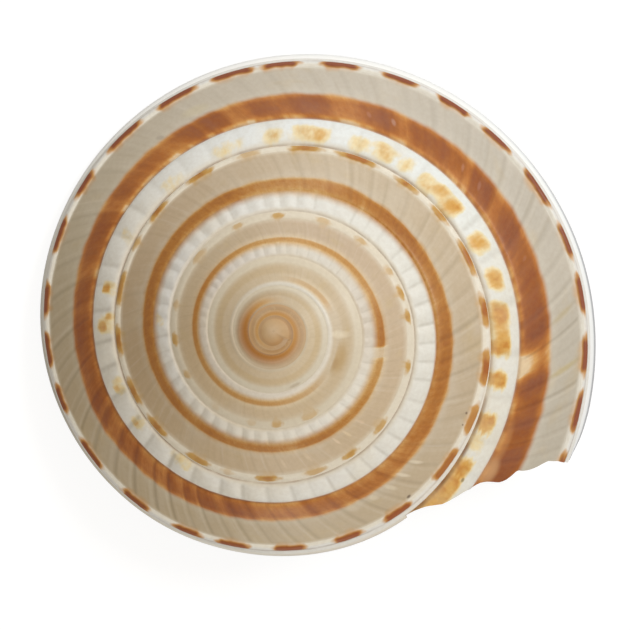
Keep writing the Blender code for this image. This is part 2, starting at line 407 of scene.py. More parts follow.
@dataclass(frozen=True)
class Markings:
    """Where the colours of the upper side lie. Angles are growth angles, and places across a whorl
    are shares of the way from seam to seam. A stain runs from the cord's start, at that count of
    bands, has the given squareness, spreads a little past its width, and fades out softly."""

    white_end: Knots = (
        (-2138, 0.08), (-1900, 0.07), (-1700, 0.07), (-1560, 0.1), (-1420, 0.13), (-1060, 0.16),
        (-980, 0.2), (-880, 0.26), (-800, 0.28), (-700, 0.275), (-600, 0.27), (-520, 0.295),
        (-440, 0.305), (-340, 0.28), (-250, 0.275), (-200, 0.295), (-60, 0.305), (0, 0.29),
        (20, 0.275), (60, 0.27),
    )
    brown_end: Knots = (
        (-2138, 0.5), (-1900, 0.45), (-1800, 0.48), (-1700, 0.52), (-1640, 0.6), (-1560, 0.45),
        (-1420, 0.34), (-1100, 0.34), (-1000, 0.375), (-880, 0.415), (-800, 0.42), (-740, 0.425),
        (-700, 0.445), (-600, 0.43), (-540, 0.48), (-500, 0.5), (-450, 0.495), (-428, 0.525),
        (-412, 0.495), (-380, 0.49), (-340, 0.495), (-290, 0.505), (-250, 0.53), (-222, 0.55),
        (-203, 0.575), (-190, 0.55), (-150, 0.565), (-60, 0.585), (-35, 0.595), (20, 0.575),
        (60, 0.55),
    )
    beige_end: Knots = (
        (-2138, 0.8), (-1640, 0.8), (-1420, 0.72), (-1060, 0.75), (-980, 0.77), (-880, 0.8),
        (-700, 0.85), (-597, 0.86), (-540, 0.895), (-440, 0.91), (-400, 0.91), (-366, 0.9),
        (-330, 0.865), (-300, 0.855), (-270, 0.87), (-228, 0.895), (-190, 0.9), (-100, 0.897),
        (-60, 0.907), (0, 0.91), (20, 0.9), (60, 0.89),
    )
    cord_end: Knots = (
        (-2138, 0.93), (-1060, 0.94), (-700, 0.955), (-625, 0.955), (-575, 0.98), (-540, 0.992),
        (-360, 0.992), (-320, 0.95), (-300, 0.942), (-255, 0.96), (-228, 0.98), (-190, 0.978),
        (-140, 0.974), (-95, 0.965), (-60, 0.97), (0, 0.969), (20, 0.964), (60, 0.955),
    )
    dashes: tuple[Dash, ...] = listed(
        Dash,
        (-1012, 6, 0.35), (-990, 4, 0.45), (-974, 3, 0.25), (-950, 3, 0.2), (-925, 3, 0.4),
        (-904, 3.5, 0.55), (-885, 3, 0.35), (-856, 5, 0.35), (-831, 3, 0.4), (-810, 3, 0.55),
        (-788, 4, 0.35), (-768, 3, 0.4), (-749, 3, 0.4), (-738, 3, 0.8), (-727, 2.4, 0.95),
        (-705, 2.6, 0.6), (-677, 4, 0.5), (-660, 3.4, 0.7), (-644, 4.5, 0.45), (-625, 4.2),
        (-609, 2.5, 0.3), (-597, 5, 0.6), (-577, 4.6, 0.95), (-562, 5.2, 0.8), (-543, 5, 0.9),
        (-525, 6, 0.65), (-508.5, 2.4, 0.5), (-496, 4.2, 0.9), (-478, 4.6, 0.8), (-461, 4, 0.4),
        (-443, 5, 0.75), (-427, 6, 0.9), (-410, 3.4, 0.9), (-397, 3.2, 0.65), (-382, 5.4, 0.8),
        (-366, 4.4, 0.95), (-350, 4.8), (-335, 4.6, 0.6), (-320.5, 5.4, 0.75), (-302, 4.3),
        (-287, 4), (-271, 4.3), (-256, 4.1), (-243.5, 3.7), (-228, 4.2), (-212, 4.4), (-196.5, 3.7),
        (-184.5, 4), (-172.5, 3.9), (-157.3, 4.1), (-144.2, 3.4), (-130.2, 4.9), (-115.8, 4.9),
        (-102.6, 4.6), (-92, 4), (-79.2, 3.9), (-66.4, 3.7), (-54, 3.6), (-43, 3.6), (-30.2, 4.1),
        (-18.2, 3.5), (-7.2, 3.7), (4.6, 3.7), (15.8, 3.8), (26.5, 2.6, 0.8),
    )
    blotches: tuple[Blotch, ...] = listed(
        Blotch,
        (-534, 0.55, 3, 0.25, 0.3), (-232, 0.26, 4.6, 0.22, 0.42), (-211.5, 0.32, 3, 0.22, 0.45),
        (-212, 0.46, 1.5, 0.12, 0.8), (-198, 0.3, 3, 0.2, 0.45), (-199, 0.44, 1.5, 0.12, 0.75),
        (-178, 0.36, 3.2, 0.28, 0.48), (-178.5, 0.44, 1.6, 0.16, 1.05), (-175, 0.2, 1.3, 0.12, 0.8),
        (-166, 0.3, 2.2, 0.22, 0.5), (-166.5, 0.4, 1.3, 0.15, 1.25), (-148, 0.3, 2.4, 0.25, 0.3),
        (-127, 0.2, 4, 0.25, 0.25), (-107, 0.3, 4.4, 0.22, 0.32), (-93.5, 0.34, 2.8, 0.24, 0.52),
        (-84.5, 0.38, 3.4, 0.26, 0.66), (-79.5, 0.34, 2.8, 0.24, 0.76),
        (-67.5, 0.34, 3.6, 0.24, 0.5), (-61, 0.38, 3.6, 0.26, 0.62), (-54, 0.4, 2.2, 0.26, 0.45),
        (-45.5, 0.32, 3.2, 0.24, 0.58), (-40.5, 0.36, 4, 0.24, 0.8), (-37, 0.32, 3, 0.27, 0.95),
        (-24.5, 0.38, 2.7, 0.26, 0.9), (-14, 0.4, 2.8, 0.24, 0.92), (-5, 0.33, 2.8, 0.26, 1.2),
        (0, 0.3, 3.4, 0.24, 0.92), (4, 0.3, 2.4, 0.27, 1.35), (12.8, 0.27, 2.2, 0.25, 1.2),
        (24.4, 0.27, 2.5, 0.24, 1.35), (30.5, 0.24, 2.2, 0.22, 0.5), (37.5, 0.24, 2.8, 0.24, 1.15),
        (45.5, 0.2, 4.8, 0.28, 1.75), (52, 0.16, 4, 0.26, 1.15),
    )
    far: float = -9.0
    cord_start: float = 0.06
    squareness: float = 3.2
    spread: float = 0.02
    fading: float = 2.0
    brown_tone: Knots = (
        (-2138, 0), (-2085, 0.22), (-2000, 0.55), (-1900, 0.66), (-1850, 0.72), (-1790, 0.74),
        (-1750, 0.9), (-1700, 1.05), (-1650, 1.2), (-1620, 1.15), (-1590, 0.85), (-1565, 0.6),
        (-1540, 0.3), (-1500, 0), (-1175, 0), (-1150, 0.3), (-1118, 0.38), (-1102, 0), (-1055, 0),
        (-1030, 0.35), (-990, 0.62), (-935, 0.7), (-910, 0.85), (-875, 0.95), (-856, 0.8),
        (-826, 0.48), (-796, 0.5), (-770, 0.64), (-751, 0.6), (-742, 0.75), (-732, 1),
        (-719.5, 1.1), (-718, 0.12), (-713, 0.1), (-711, 0.52), (-697, 0.55), (-691, 0.7),
        (-675, 0.75), (-659, 0.98), (-651, 0.92), (-643, 0.62), (-631, 0.84), (-613, 0.76),
        (-603, 0.98), (-593, 0.7), (-579, 0.95), (-563, 0.84), (-543, 0.96), (-507, 0.84),
        (-487, 0.82), (-477, 0.98), (-469, 0.58), (-447, 0.52), (-435, 0.66), (-427, 0.84),
        (-424, 0.62), (-417, 0.94), (-403, 0.98), (-391, 0.74), (-379, 0.7), (-367, 0.88),
        (-350, 0.78), (-342, 0.62), (-332, 0.74), (-330, 0.48), (-323.5, 0.48), (-322, 0.75),
        (-320, 0.48), (-316.8, 0.42), (-315.5, 0.78), (-312, 0.58), (-310, 0.84), (-308, 0.58),
        (-306, 0.8), (-303, 0.82), (-301.5, 0.48), (-298.5, 0.48), (-297, 0.88), (-294, 0.76),
        (-291, 0.68), (-289, 1), (-287.8, 0.94), (-286.5, 0.44), (-283, 0.44), (-282, 0.66),
        (-280.5, 0.44), (-271, 0.58), (-269.5, 1), (-267, 0.86), (-264.5, 1.1), (-261.8, 1.15),
        (-260.8, 0.7), (-258, 0.76), (-256.5, 1.08), (-254.5, 0.95), (-252.5, 1.08), (-251.3, 0.48),
        (-249.8, 1.02), (-248, 1.05), (-246.8, 0.42), (-245, 0.7), (-243.2, 1.02), (-241.8, 1.08),
        (-240.6, 0.48), (-238, 0.55), (-237, 0.92), (-235.8, 0.5), (-231, 0.62), (-229.6, 1.05),
        (-228.3, 1), (-227, 0.68), (-224.5, 0.66), (-223.2, 1.1), (-222.2, 1), (-221, 0.56),
        (-217, 0.6), (-215.2, 1.05), (-213.5, 1.02), (-212.3, 0.5), (-210.8, 1.08), (-208, 1.12),
        (-206, 0.85), (-198, 0.85), (-196, 0.98), (-191, 1), (-189, 1.22), (-187, 0.98),
        (-185, 0.95), (-183, 0.72), (-180.5, 0.98), (-175.5, 0.95), (-174, 0.48), (-171.5, 0.55),
        (-169, 0.85), (-165, 0.9), (-162, 1), (-158.5, 1), (-157, 0.85), (-155.5, 1), (-154, 0.46),
        (-151.5, 0.48), (-149.5, 0.92), (-147, 0.88), (-144, 0.7), (-135, 0.7), (-132.5, 0.42),
        (-128.5, 0.5), (-126.5, 0.88), (-123, 0.98), (-122, 0.78), (-120.5, 1.02), (-115.5, 1.02),
        (-113.5, 0.44), (-109.5, 0.5), (-107.5, 0.92), (-103.5, 0.88), (-100, 0.74), (-98, 0.78),
        (-96.5, 0.98), (-92, 0.94), (-90.5, 1.02), (-88.8, 1.02), (-87.5, 0.44), (-80.5, 0.48),
        (-78.5, 0.85), (-75, 0.85), (-74, 1.08), (-72.6, 1), (-71, 0.75), (-69, 0.46),
        (-67.3, 0.52), (-66, 1), (-64.5, 0.8), (-59.5, 0.8), (-57.8, 1.08), (-56.5, 0.68),
        (-52.5, 0.74), (-50.8, 0.42), (-49.2, 0.48), (-48, 1.02), (-46.5, 0.98), (-45.5, 0.85),
        (-43.5, 1.02), (-41.8, 1.02), (-40.4, 0.46), (-38.5, 0.5), (-37, 0.72), (-35, 0.98),
        (-31.2, 1.02), (-30, 0.72), (-26, 0.7), (-22, 0.78), (-20.8, 0.95), (-19.5, 0.74),
        (-16, 0.85), (-14.5, 0.92), (-11, 0.9), (-10, 1.12), (-8.6, 1.18), (-7.2, 0.78),
        (-5.6, 0.42), (-2.8, 0.2), (-0.2, 0.34), (1.6, 0.76), (3.2, 1.18), (4.6, 1.02), (5.5, 0.76),
        (11, 0.8), (12.5, 0.95), (15, 0.8), (20, 0.9), (26, 0.95), (34, 1),
    )

    def share(self, angle: Array, band: Array) -> Array:
        """Turns a count of bands into a share of the way across.

        Args:
            angle: the growth angle.
            band: the count: 0 to 1 is the white cord, 1 to 2 the brown band, 2 to 3 the beige
                one, 3 to 4 the dashed cord, and 4 to 5 the rim.

        Returns:
            The share.
        """
        edges = self.edges(angle)
        found = np.zeros(np.broadcast(angle, band).shape)
        for k, (start, end) in enumerate(zip(edges, edges[1:])):
            found = found + np.clip(band - k, 0, 1) * (end - start)
        return found

    def edges(self, angle: Array) -> list[Array]:
        """Finds the edges of the bands.

        Args:
            angle: the growth angle.

        Returns:
            The shares at which they begin and end, from the inner seam to the outer one.
        """
        ends = (self.white_end, self.brown_end, self.beige_end, self.cord_end)
        found = [curved(angle, knots) for knots in ends]
        return [np.zeros_like(found[0]), *found, np.ones_like(found[0])]

    def dash(self, angle: Array) -> Pair:
        """Measures how far points are inside a dash.

        Args:
            angle: their growth angles.

        Returns:
            Degrees inside the nearest dash, below 0 outside it, and how dark that dash is.
        """
        inside = np.full(np.shape(angle), self.far)
        ink = np.zeros(np.shape(angle))
        for dash in self.dashes:
            depth = dash.half - np.abs(angle - dash.centre)
            ink = np.where(depth > inside, dash.ink, ink)
            inside = np.maximum(inside, depth)
        return inside, ink

    def blotch(self, angle: Array, band: Array) -> Array:
        """Finds how strongly points are stained yellow.

        Args:
            angle: their growth angles.
            band: their counts of bands.

        Returns:
            How strong the stain is, from 0 to 1.
        """
        stain = np.zeros(np.shape(angle))
        for spot in self.blotches:
            across = np.maximum(band, self.cord_start) - spot.across
            away = np.abs((angle - spot.centre) / spot.half_length) ** self.squareness
            away = away + np.abs(across / (spot.half_width + self.spread)) ** self.squareness
            stain = np.maximum(stain, spot.strength * (1 - away / self.fading))
        return np.clip(stain, 0, 1)


@dataclass(frozen=True)
class Stops:
    """The lines that growth left where it paused, and the grooves that part the white cord into
    beads. Both are counted along the shell, whole in the middle of a line or groove."""

    lines: Knots = (
        (-690, 0.3), (-683, 0.4), (-672, 0.4), (-665, 0.6), (-657, 0.4), (-650, 0.3), (-645, 0.7),
        (-638, 0.4), (-633, 0.5), (-628, 0.6), (-622, 0.7), (-615.5, 0.5), (-608, 0.5), (-602, 0.3),
        (-594, 0.5), (-587, 0.3), (-580, 0.3), (-574, 0.3), (-567, 0.4), (-560, 0.5), (-551, 0.3),
        (-543, 0.3), (-536, 0.3), (-529, 0.5), (-520, 0.2), (-512, 0.3), (-505, 0.4), (-500, 0.3),
        (-495, 0.4), (-488, 0.5), (-481, 0.4), (-472, 0.4), (-463, 0.2), (-455, 0.4), (-447.5, 0.6),
        (-438, 0.4), (-429.5, 0.7), (-422, 0.5), (-417, 0.4), (-409, 0.4), (-400.5, 0.6),
        (-396, 0.4), (-390, 0.3), (-385, 0.5), (-376, 0.4), (-366.5, 0.9), (-359, 0.5), (-353, 0.6),
        (-345, 0.4), (-338, 0.3), (-329, 0.4), (-322, 0.4), (-315, 0.6), (-308.5, 0.4), (-303, 0.6),
        (-296, 0.6), (-289, 0.3), (-282, 0.6), (-276, 0.6), (-269, 0.4), (-263, 0.6), (-258, 0.5),
        (-252.5, 0.8), (-247.5, 0.5), (-241.8, 1), (-236.5, 1), (-229, 1), (-222, 0.8),
        (-213.5, 0.8), (-207.5, 1), (-203, 0.4), (-197.5, 0.8), (-192, 0.5), (-186.5, 0.8),
        (-181, 0.4), (-174.5, 0.7), (-167, 0.4), (-161, 0.25), (-155, 0.35), (-148, 0.2),
        (-142, 0.3), (-135, 0.15), (-129, 0.2), (-121, 0.15), (-111, 0.25), (-104, 0.25),
        (-97, 0.3), (-88, 0.2), (-81, 0.3), (-74, 0.2), (-67, 0.15), (-60.5, 0.35), (-51, 0.4),
        (-46, 0.2), (-41, 0.5), (-35, 0.4), (-31.5, 0.6), (-25, 0.4), (-18.5, 0.3), (-12.5, 0.5),
        (-8, 0.3), (-4.5, 0.8), (-0.5, 0.2), (3.5, 0.5), (8, 0.8), (12, 0.5), (17, 0.5), (21, 0.4),
        (26, 0.4), (32, 0.3),
    )
    beads: Knots = (
        (-334, 0.5), (-326, 0.6), (-318.5, 0.7), (-311, 0.9), (-304, 0.6), (-297, 0.7), (-289, 0.8),
        (-282, 0.4), (-275, 0.8), (-266, 0.6), (-257, 0.9), (-249.5, 0.9), (-239, 0.8), (-230, 1.3),
        (-220, 0.9), (-212, 1), (-201.5, 0.9), (-192, 0.9), (-184, 0.9), (-174, 0.8), (-166, 0.4),
        (-160, 0.6), (-150, 0.6), (-141, 0.6), (-132, 0.3), (-122, 0.35), (-113, 0.3), (-104, 0.2),
        (-95, 0.3), (-86, 0.2), (-77, 0.2), (-69, 0.3), (-59, 0.2), (-50, 0.3), (-40, 0.2),
        (-31, 0.7), (-21, 0.5), (-8, 0.5), (5, 0.5), (16, 0.3), (28, 0.3), (37, 0.3), (46, 0.3),
        (55, 0.3),
    )
    line_spacing: float = 6.4
    line_seed: int = 8
    bead_spacing: float = 7.7
    bead_seed: int = 5
    early: int = 260
    jitter: float = 0.16
    early_depth: float = 0.8
    depth_jitter: float = 0.3

    def count(self, at: Array, known: Knots, spacing: float, seed: int) -> Pair:
        """Counts lines or grooves along the shell.

        Args:
            at: where to read the count.
            known: the (place, depth) pairs of the ones that are listed.
            spacing: how far apart the earlier ones are.
            seed: picks how unevenly they lie.

        Returns:
            The count, and how deep the nearest ones are.
        """
        steps = np.arange(self.early, 0, -1)
        places = known[0][0] - spacing * (steps + self.jitter * uneven(steps, 1.0, seed))
        depths = self.early_depth + self.depth_jitter * uneven(steps, 1.0, seed + 1)
        places = np.concatenate([places, [place for place, _ in known]])
        depths = np.concatenate([depths, [depth for _, depth in known]])
        return np.interp(at, places, np.arange(len(places))), np.interp(at, places, depths)


@dataclass(frozen=True)
class UpperSide:
    """The upper side of every whorl, from the tip to the lip. Heights are shares of the whorl's
    radius, and a wave is its size, its spacing in degrees and the seed of its unevenness."""

    spiral: Spiral
    rows: Rows
    markings: Markings
    stops: Stops
    line_lead: Knots = ((-1060, 9.0), (-700, 10.0), (-400, 11.5), (-320, 16.0), (60, 16.0))
    cord_lead: float = 1.6
    cord_share: float = 0.3
    beads_begin: Span = (-1040.0, -760.0)
    lip_rows: int = 44
    lip_shape: Knots = (
        (0, 20.6), (0.03, 17), (0.06, 15.6), (0.1, 14.4), (0.13, 13.6), (0.18, 10.4), (0.22, 8),
        (0.27, 6.8), (0.3, 4.9), (0.35, 4.5), (0.4, 4.6), (0.45, 4.8), (0.5, 4.3), (0.53, 3.3),
        (0.56, 2.2), (0.6, 2.5), (0.65, 2.6), (0.7, 2.4), (0.77, 1.8), (0.8, 1.6), (0.85, 2),
        (0.9, 2.4), (1, 3.5),
    )
    profile: Knots = (
        (0, 0), (0.03, 0.0045), (0.1, 0.0115), (0.3, 0.0172), (0.55, 0.0185), (0.8, 0.016),
        (0.93, 0.0105), (1, 0.004), (1.07, 0.0098), (1.22, 0.013), (1.5, 0.0142), (1.85, 0.0122),
        (2, 0.011), (2.3, 0.0098), (2.6, 0.0068), (2.9, 0.0026), (3, 0.0012), (3.12, 0.0042),
        (3.45, 0.009), (3.75, 0.0086), (3.93, 0.0048), (4, 0.0018), (4.5, 0.0008), (5, 0),
    )
    early_profile: Knots = (
        (0, 0), (0.04, 0.006), (0.15, 0.013), (0.4, 0.018), (0.6, 0.0182), (0.85, 0.0142),
        (1, 0.0112), (1.2, 0.0106), (1.5, 0.0116), (2, 0.0106), (2.5, 0.0076), (2.9, 0.0034),
        (3, 0.0028), (3.2, 0.006), (3.5, 0.0086), (3.85, 0.0078), (4.1, 0.005), (4.6, 0.0022),
        (5, 0),
    )
    relief_size: Knots = ((-2138, 0.08), (-1500, 0.25), (-1060, 0.55), (-700, 0.9), (-400, 1.0))
    tip_rings: tuple[float, ...] = (0.8, 0.6, 0.4, 0.2)
    tip_rise: float = 0.28
    tip_turn: float = 120.0
    late_profile: Span = (-640.0, -330.0)
    bead_depth: float = 0.0085
    wide_bead: float = 1.3
    bead_narrowing: float = 1.1
    beads_narrow: Span = (-420.0, -320.0)
    pause_share: float = 0.16
    pause_size: float = 1.1
    waves: tuple[tuple[float, float, int], ...] = ((0.5, 2.1, 11), (0.4, 4.7, 12))
    ripple: float = 0.0011
    ripple_size: Knots = (
        (-2138, 0), (-1300, 0.05), (-1060, 0.15), (-700, 0.3), (-460, 0.4), (-330, 0.8), (-260, 1),
        (-160, 1), (-120, 0.4), (-50, 0.5), (0, 0.9),
    )
    columns: tuple[tuple[float, tuple[int, ...]], ...] = (
        (-9999, (3, 3, 3, 2, 1)), (-1760, (4, 5, 4, 3, 1)), (-1400, (6, 5, 8, 5, 2)),
        (-1040, (10, 8, 9, 6, 2)), (-680, (14, 11, 12, 7, 2)), (-330, (17, 14, 15, 9, 3)),
    )

    def lead(self, angle: Array, share: Array) -> Array:
        """Finds how far a growth line runs ahead of its keel end.

        Args:
            angle: the growth angle.
            share: the share of the way from seam to seam.

        Returns:
            How many degrees ahead it is.
        """
        size = straight(angle, self.line_lead)
        over_cord = size * (1 - self.cord_share) + self.cord_lead * (1 - share / self.cord_share)
        return np.where(share < self.cord_share, over_cord, size * (1 - share))

    def beads(self, angle: Array, share: Array) -> Pair:
        """Counts the grooves that part the white cord into beads.

        Args:
            angle: the growth angle.
            share: the share of the way from seam to seam.

        Returns:
            The count, and how deep the grooves are.
        """
        leaning = angle - self.cord_lead * (1 - share / self.cord_share)
        stops = self.stops
        count, deep = stops.count(leaning, stops.beads, stops.bead_spacing, stops.bead_seed)
        return count, deep * passed(angle, *self.beads_begin)

    def pauses(self, line: Array) -> Pair:
        """Counts the lines that growth left where it paused, and gives how bold they are."""
        stops = self.stops
        return stops.count(line, stops.lines, stops.line_spacing, stops.line_seed)

    def lip(self, row: Array, share: Array) -> Array:
        """Gives how far the lip's last rows run past their growth line."""
        nearness = smooth_step(1 - (self.rows.last - row) / self.lip_rows)
        return nearness * curved(share, self.lip_shape)

    def relief(self, angle: Array, share: Array, band: Array) -> Array:
        """Finds the height of the cords, beads and ripples.

        Args:
            angle: the growth angle.
            share: the share of the way from seam to seam.
            band: the count of bands.

        Returns:
            The height as a share of the whorl's radius.
        """
        size = straight(angle, self.relief_size)
        late = passed(angle, *self.late_profile)
        height = curved(band, self.profile) * late + curved(band, self.early_profile) * (1 - late)
        height = height * size
        bead, deep = self.beads(angle, share)
        groove = np.cos(2 * np.pi * bead) * 0.5 + 0.5
        on_cord = smooth_step(band / 0.3) * smooth_step((1.05 - band) / 0.35)
        narrow = self.wide_bead + self.bead_narrowing * passed(angle, *self.beads_narrow)
        height = height - on_cord * self.bead_depth * deep * groove ** narrow
        line = angle - self.lead(angle, share)
        stop, bold = self.pauses(line)
        part = np.mod(stop, 1.0)
        pause = np.minimum(part / (1 - self.pause_share), (1 - part) / self.pause_share)
        wave = sum(size * uneven(line, spacing, seed) for size, spacing, seed in self.waves)
        wave = wave + self.pause_size * (bold * (pause ** 1.5 - 0.4))
        off_cord = 0.3 + 0.7 * smooth_step((band - 0.9) / 0.4)
        edge = smooth_step(band / 0.1) * smooth_step((5.0 - band) / 0.8)
        ripple = self.ripple * straight(angle, self.ripple_size) * wave * off_cord * edge
        return height + ripple

    def place(self, angle: Array, share: Array, relief: Array) -> Pair:
        """Finds points on the upper side.

        Args:
            angle: their growth angles.
            share: their shares of the way from seam to seam.
            relief: their heights over the straight line, as shares of the whorl's radius.

        Returns:
            Their distances from the winding axis and their heights over the tip.
        """
        outer = self.spiral.radius(angle)
        inner = self.spiral.radius(angle - TURN)
        top, low = self.spiral.height(inner), self.spiral.height(outer)
        across, down = outer - inner, low - top
        length = np.hypot(across, down)
        lift = relief * outer / length
        return inner + across * share - down * lift, top + down * share + across * lift

    @staticmethod
    def bands_of(counts: tuple[int, ...]) -> Array:
        """Spreads a row's corners over the bands, closer together near the bands' edges.

        Args:
            counts: how many corners each band has.

        Returns:
            The counts of bands at which they lie, both seams included.
        """
        found = [0.0]
        for k, count in enumerate(counts):
            steps = np.arange(1, count + 1) / count
            if count >= 5:
                steps = 0.5 - 0.5 * np.cos(np.pi * steps) * 0.55 + (steps - 0.5) * 0.45
            found.extend(k + steps)
        return np.array(found)

    def corners(self, skin: Skin, row: Array, band: Array) -> Array:
        """Adds corners to the skin.

        Args:
            skin: the skin.
            row: their rows.
            band: their counts of bands.

        Returns:
            The corners.
        """
        row, band = np.broadcast_arrays(np.asarray(row, float), np.asarray(band, float))
        share = self.markings.share(self.rows.angle(row), band)
        start = self.rows.angle(row)
        angle = start + self.lead(start, share) + self.lip(row, share)
        share = self.markings.share(angle, band)
        relief = self.relief(angle, share, band)
        radius, height = self.place(angle, share, relief)
        return skin.add(angle, radius, height, **self.marks(angle, share, band))

    def marks(self, angle: Array, share: Array, band: Array) -> dict[str, Array]:
        """Finds what corners know of their place on the upper side.

        Args:
            angle: their growth angles.
            share: their shares of the way from seam to seam.
            band: their counts of bands.

        Returns:
            Their marks by name.
        """
        inside, ink = self.markings.dash(angle)
        line = angle - self.lead(angle, share)
        bead, deep = self.beads(angle, share)
        stop, bold = self.pauses(line)
        tone = straight(line, self.markings.brown_tone)
        blotch = self.markings.blotch(angle, band)
        values = (angle, band, line, bead, deep, stop, bold, inside, ink, tone, blotch)
        return dict(zip(MARKS, values))

    def build(self, skin: Skin) -> Pair:
        """Sews the upper side.

        Args:
            skin: the skin to sew it into.

        Returns:
            The corners along the outermost seam, one for each row, and those along the lip.
        """
        last = self.rows.last
        starts = [start for start, _ in self.columns]
        detail = np.searchsorted(starts, self.rows.angle(np.arange(last + 1)), "right") - 1
        seam = np.zeros(last + 1, dtype=int)
        edge = np.zeros(last + 1, dtype=int)
        before: list[tuple] = []
        for k, (_, counts) in enumerate(self.columns):
            rows = np.flatnonzero(detail == k)
            bands = self.bands_of(counts)[1:]
            ids = self.corners(skin, rows[:, None], bands[None, :])
            skin.sheet(ids, Zone.UPPER_SIDE)
            if before:
                skin.sew(before, list(zip(bands, ids[0])), Zone.UPPER_SIDE)
            before = list(zip(bands, ids[-1]))
            seam[rows], edge[rows] = ids[:, -1], ids[:, 0]
            if k == 0:
                first_row = ids[0]
        self.sew_to_last_whorl(skin, seam, edge, first_row)
        return seam, np.array([corner for _, corner in before])

    def sew_to_last_whorl(self, skin: Skin, seam: Array, edge: Array, first_row: Array) -> None:
        """Joins each whorl's inner edge to the seam that it sits on, and closes the tip.

        Args:
            skin: the skin.
            seam: the seam's corners, row by row.
            edge: the corners nearest to the inner seam, row by row.
            first_row: the corners of the first row.
        """
        last, gap = self.rows.last, self.rows.shared_gap
        rows = np.arange(-gap, last - gap + 1)
        angle = self.rows.angle(rows) + TURN
        radius = self.spiral.radius(angle - TURN)
        height = self.spiral.height(radius)
        inner = skin.add(angle, radius, height, **self.marks(angle, 0 * angle, 0 * angle))
        skin.join(inner[gap:], seam[: last - gap + 1])
        row = np.arange(last + 1)
        at = self.rows.angle(row)
        share = self.markings.share(at, np.full(last + 1, self.markings.cord_start))
        edge_angle = at + self.lead(at, share) + self.lip(row, share)
        start = int(np.searchsorted(angle, edge_angle[0]))
        pairs = list(zip(angle[start:], inner[start:]))
        skin.sew(pairs, list(zip(edge_angle, edge)), Zone.UPPER_SIDE)
        opening = np.searchsorted(angle, self.rows.angle(0) + TURN) - 1
        loop = np.concatenate([inner[start:opening + 1], [seam[0]], first_row[::-1][1:]])
        self.close_tip(skin, loop)

    def close_tip(self, skin: Skin, loop: Array) -> None:
        """Covers the very tip with a small, smooth dome.

        Args:
            skin: the skin.
            loop: the corners round the hole at the tip.
        """
        points = skin.place_of(loop)
        centre = points.mean(axis=0)
        top = points[:, 2].max() + self.tip_rise * np.hypot(points[:, 0], points[:, 1]).min()
        angle, start, outer = polar(points)[0], self.rows.angle(0), loop
        for share in self.tip_rings:
            ring = centre + (points - centre) * share
            rounding = 1 - share * share
            ring[:, 2] = points[:, 2] * (1 - rounding) + top * rounding
            growth = start - self.tip_turn * (1 - share)
            ids = skin.add(*polar(ring), growth=growth, band=0.5, line=angle, tone=0.5 * share)
            skin.belt(outer, ids, Zone.UPPER_SIDE)
            outer = ids
        point = (centre[0], centre[1], top)
        skin.fan(outer, point, Zone.UPPER_SIDE, growth=start - self.tip_turn, band=0.5)


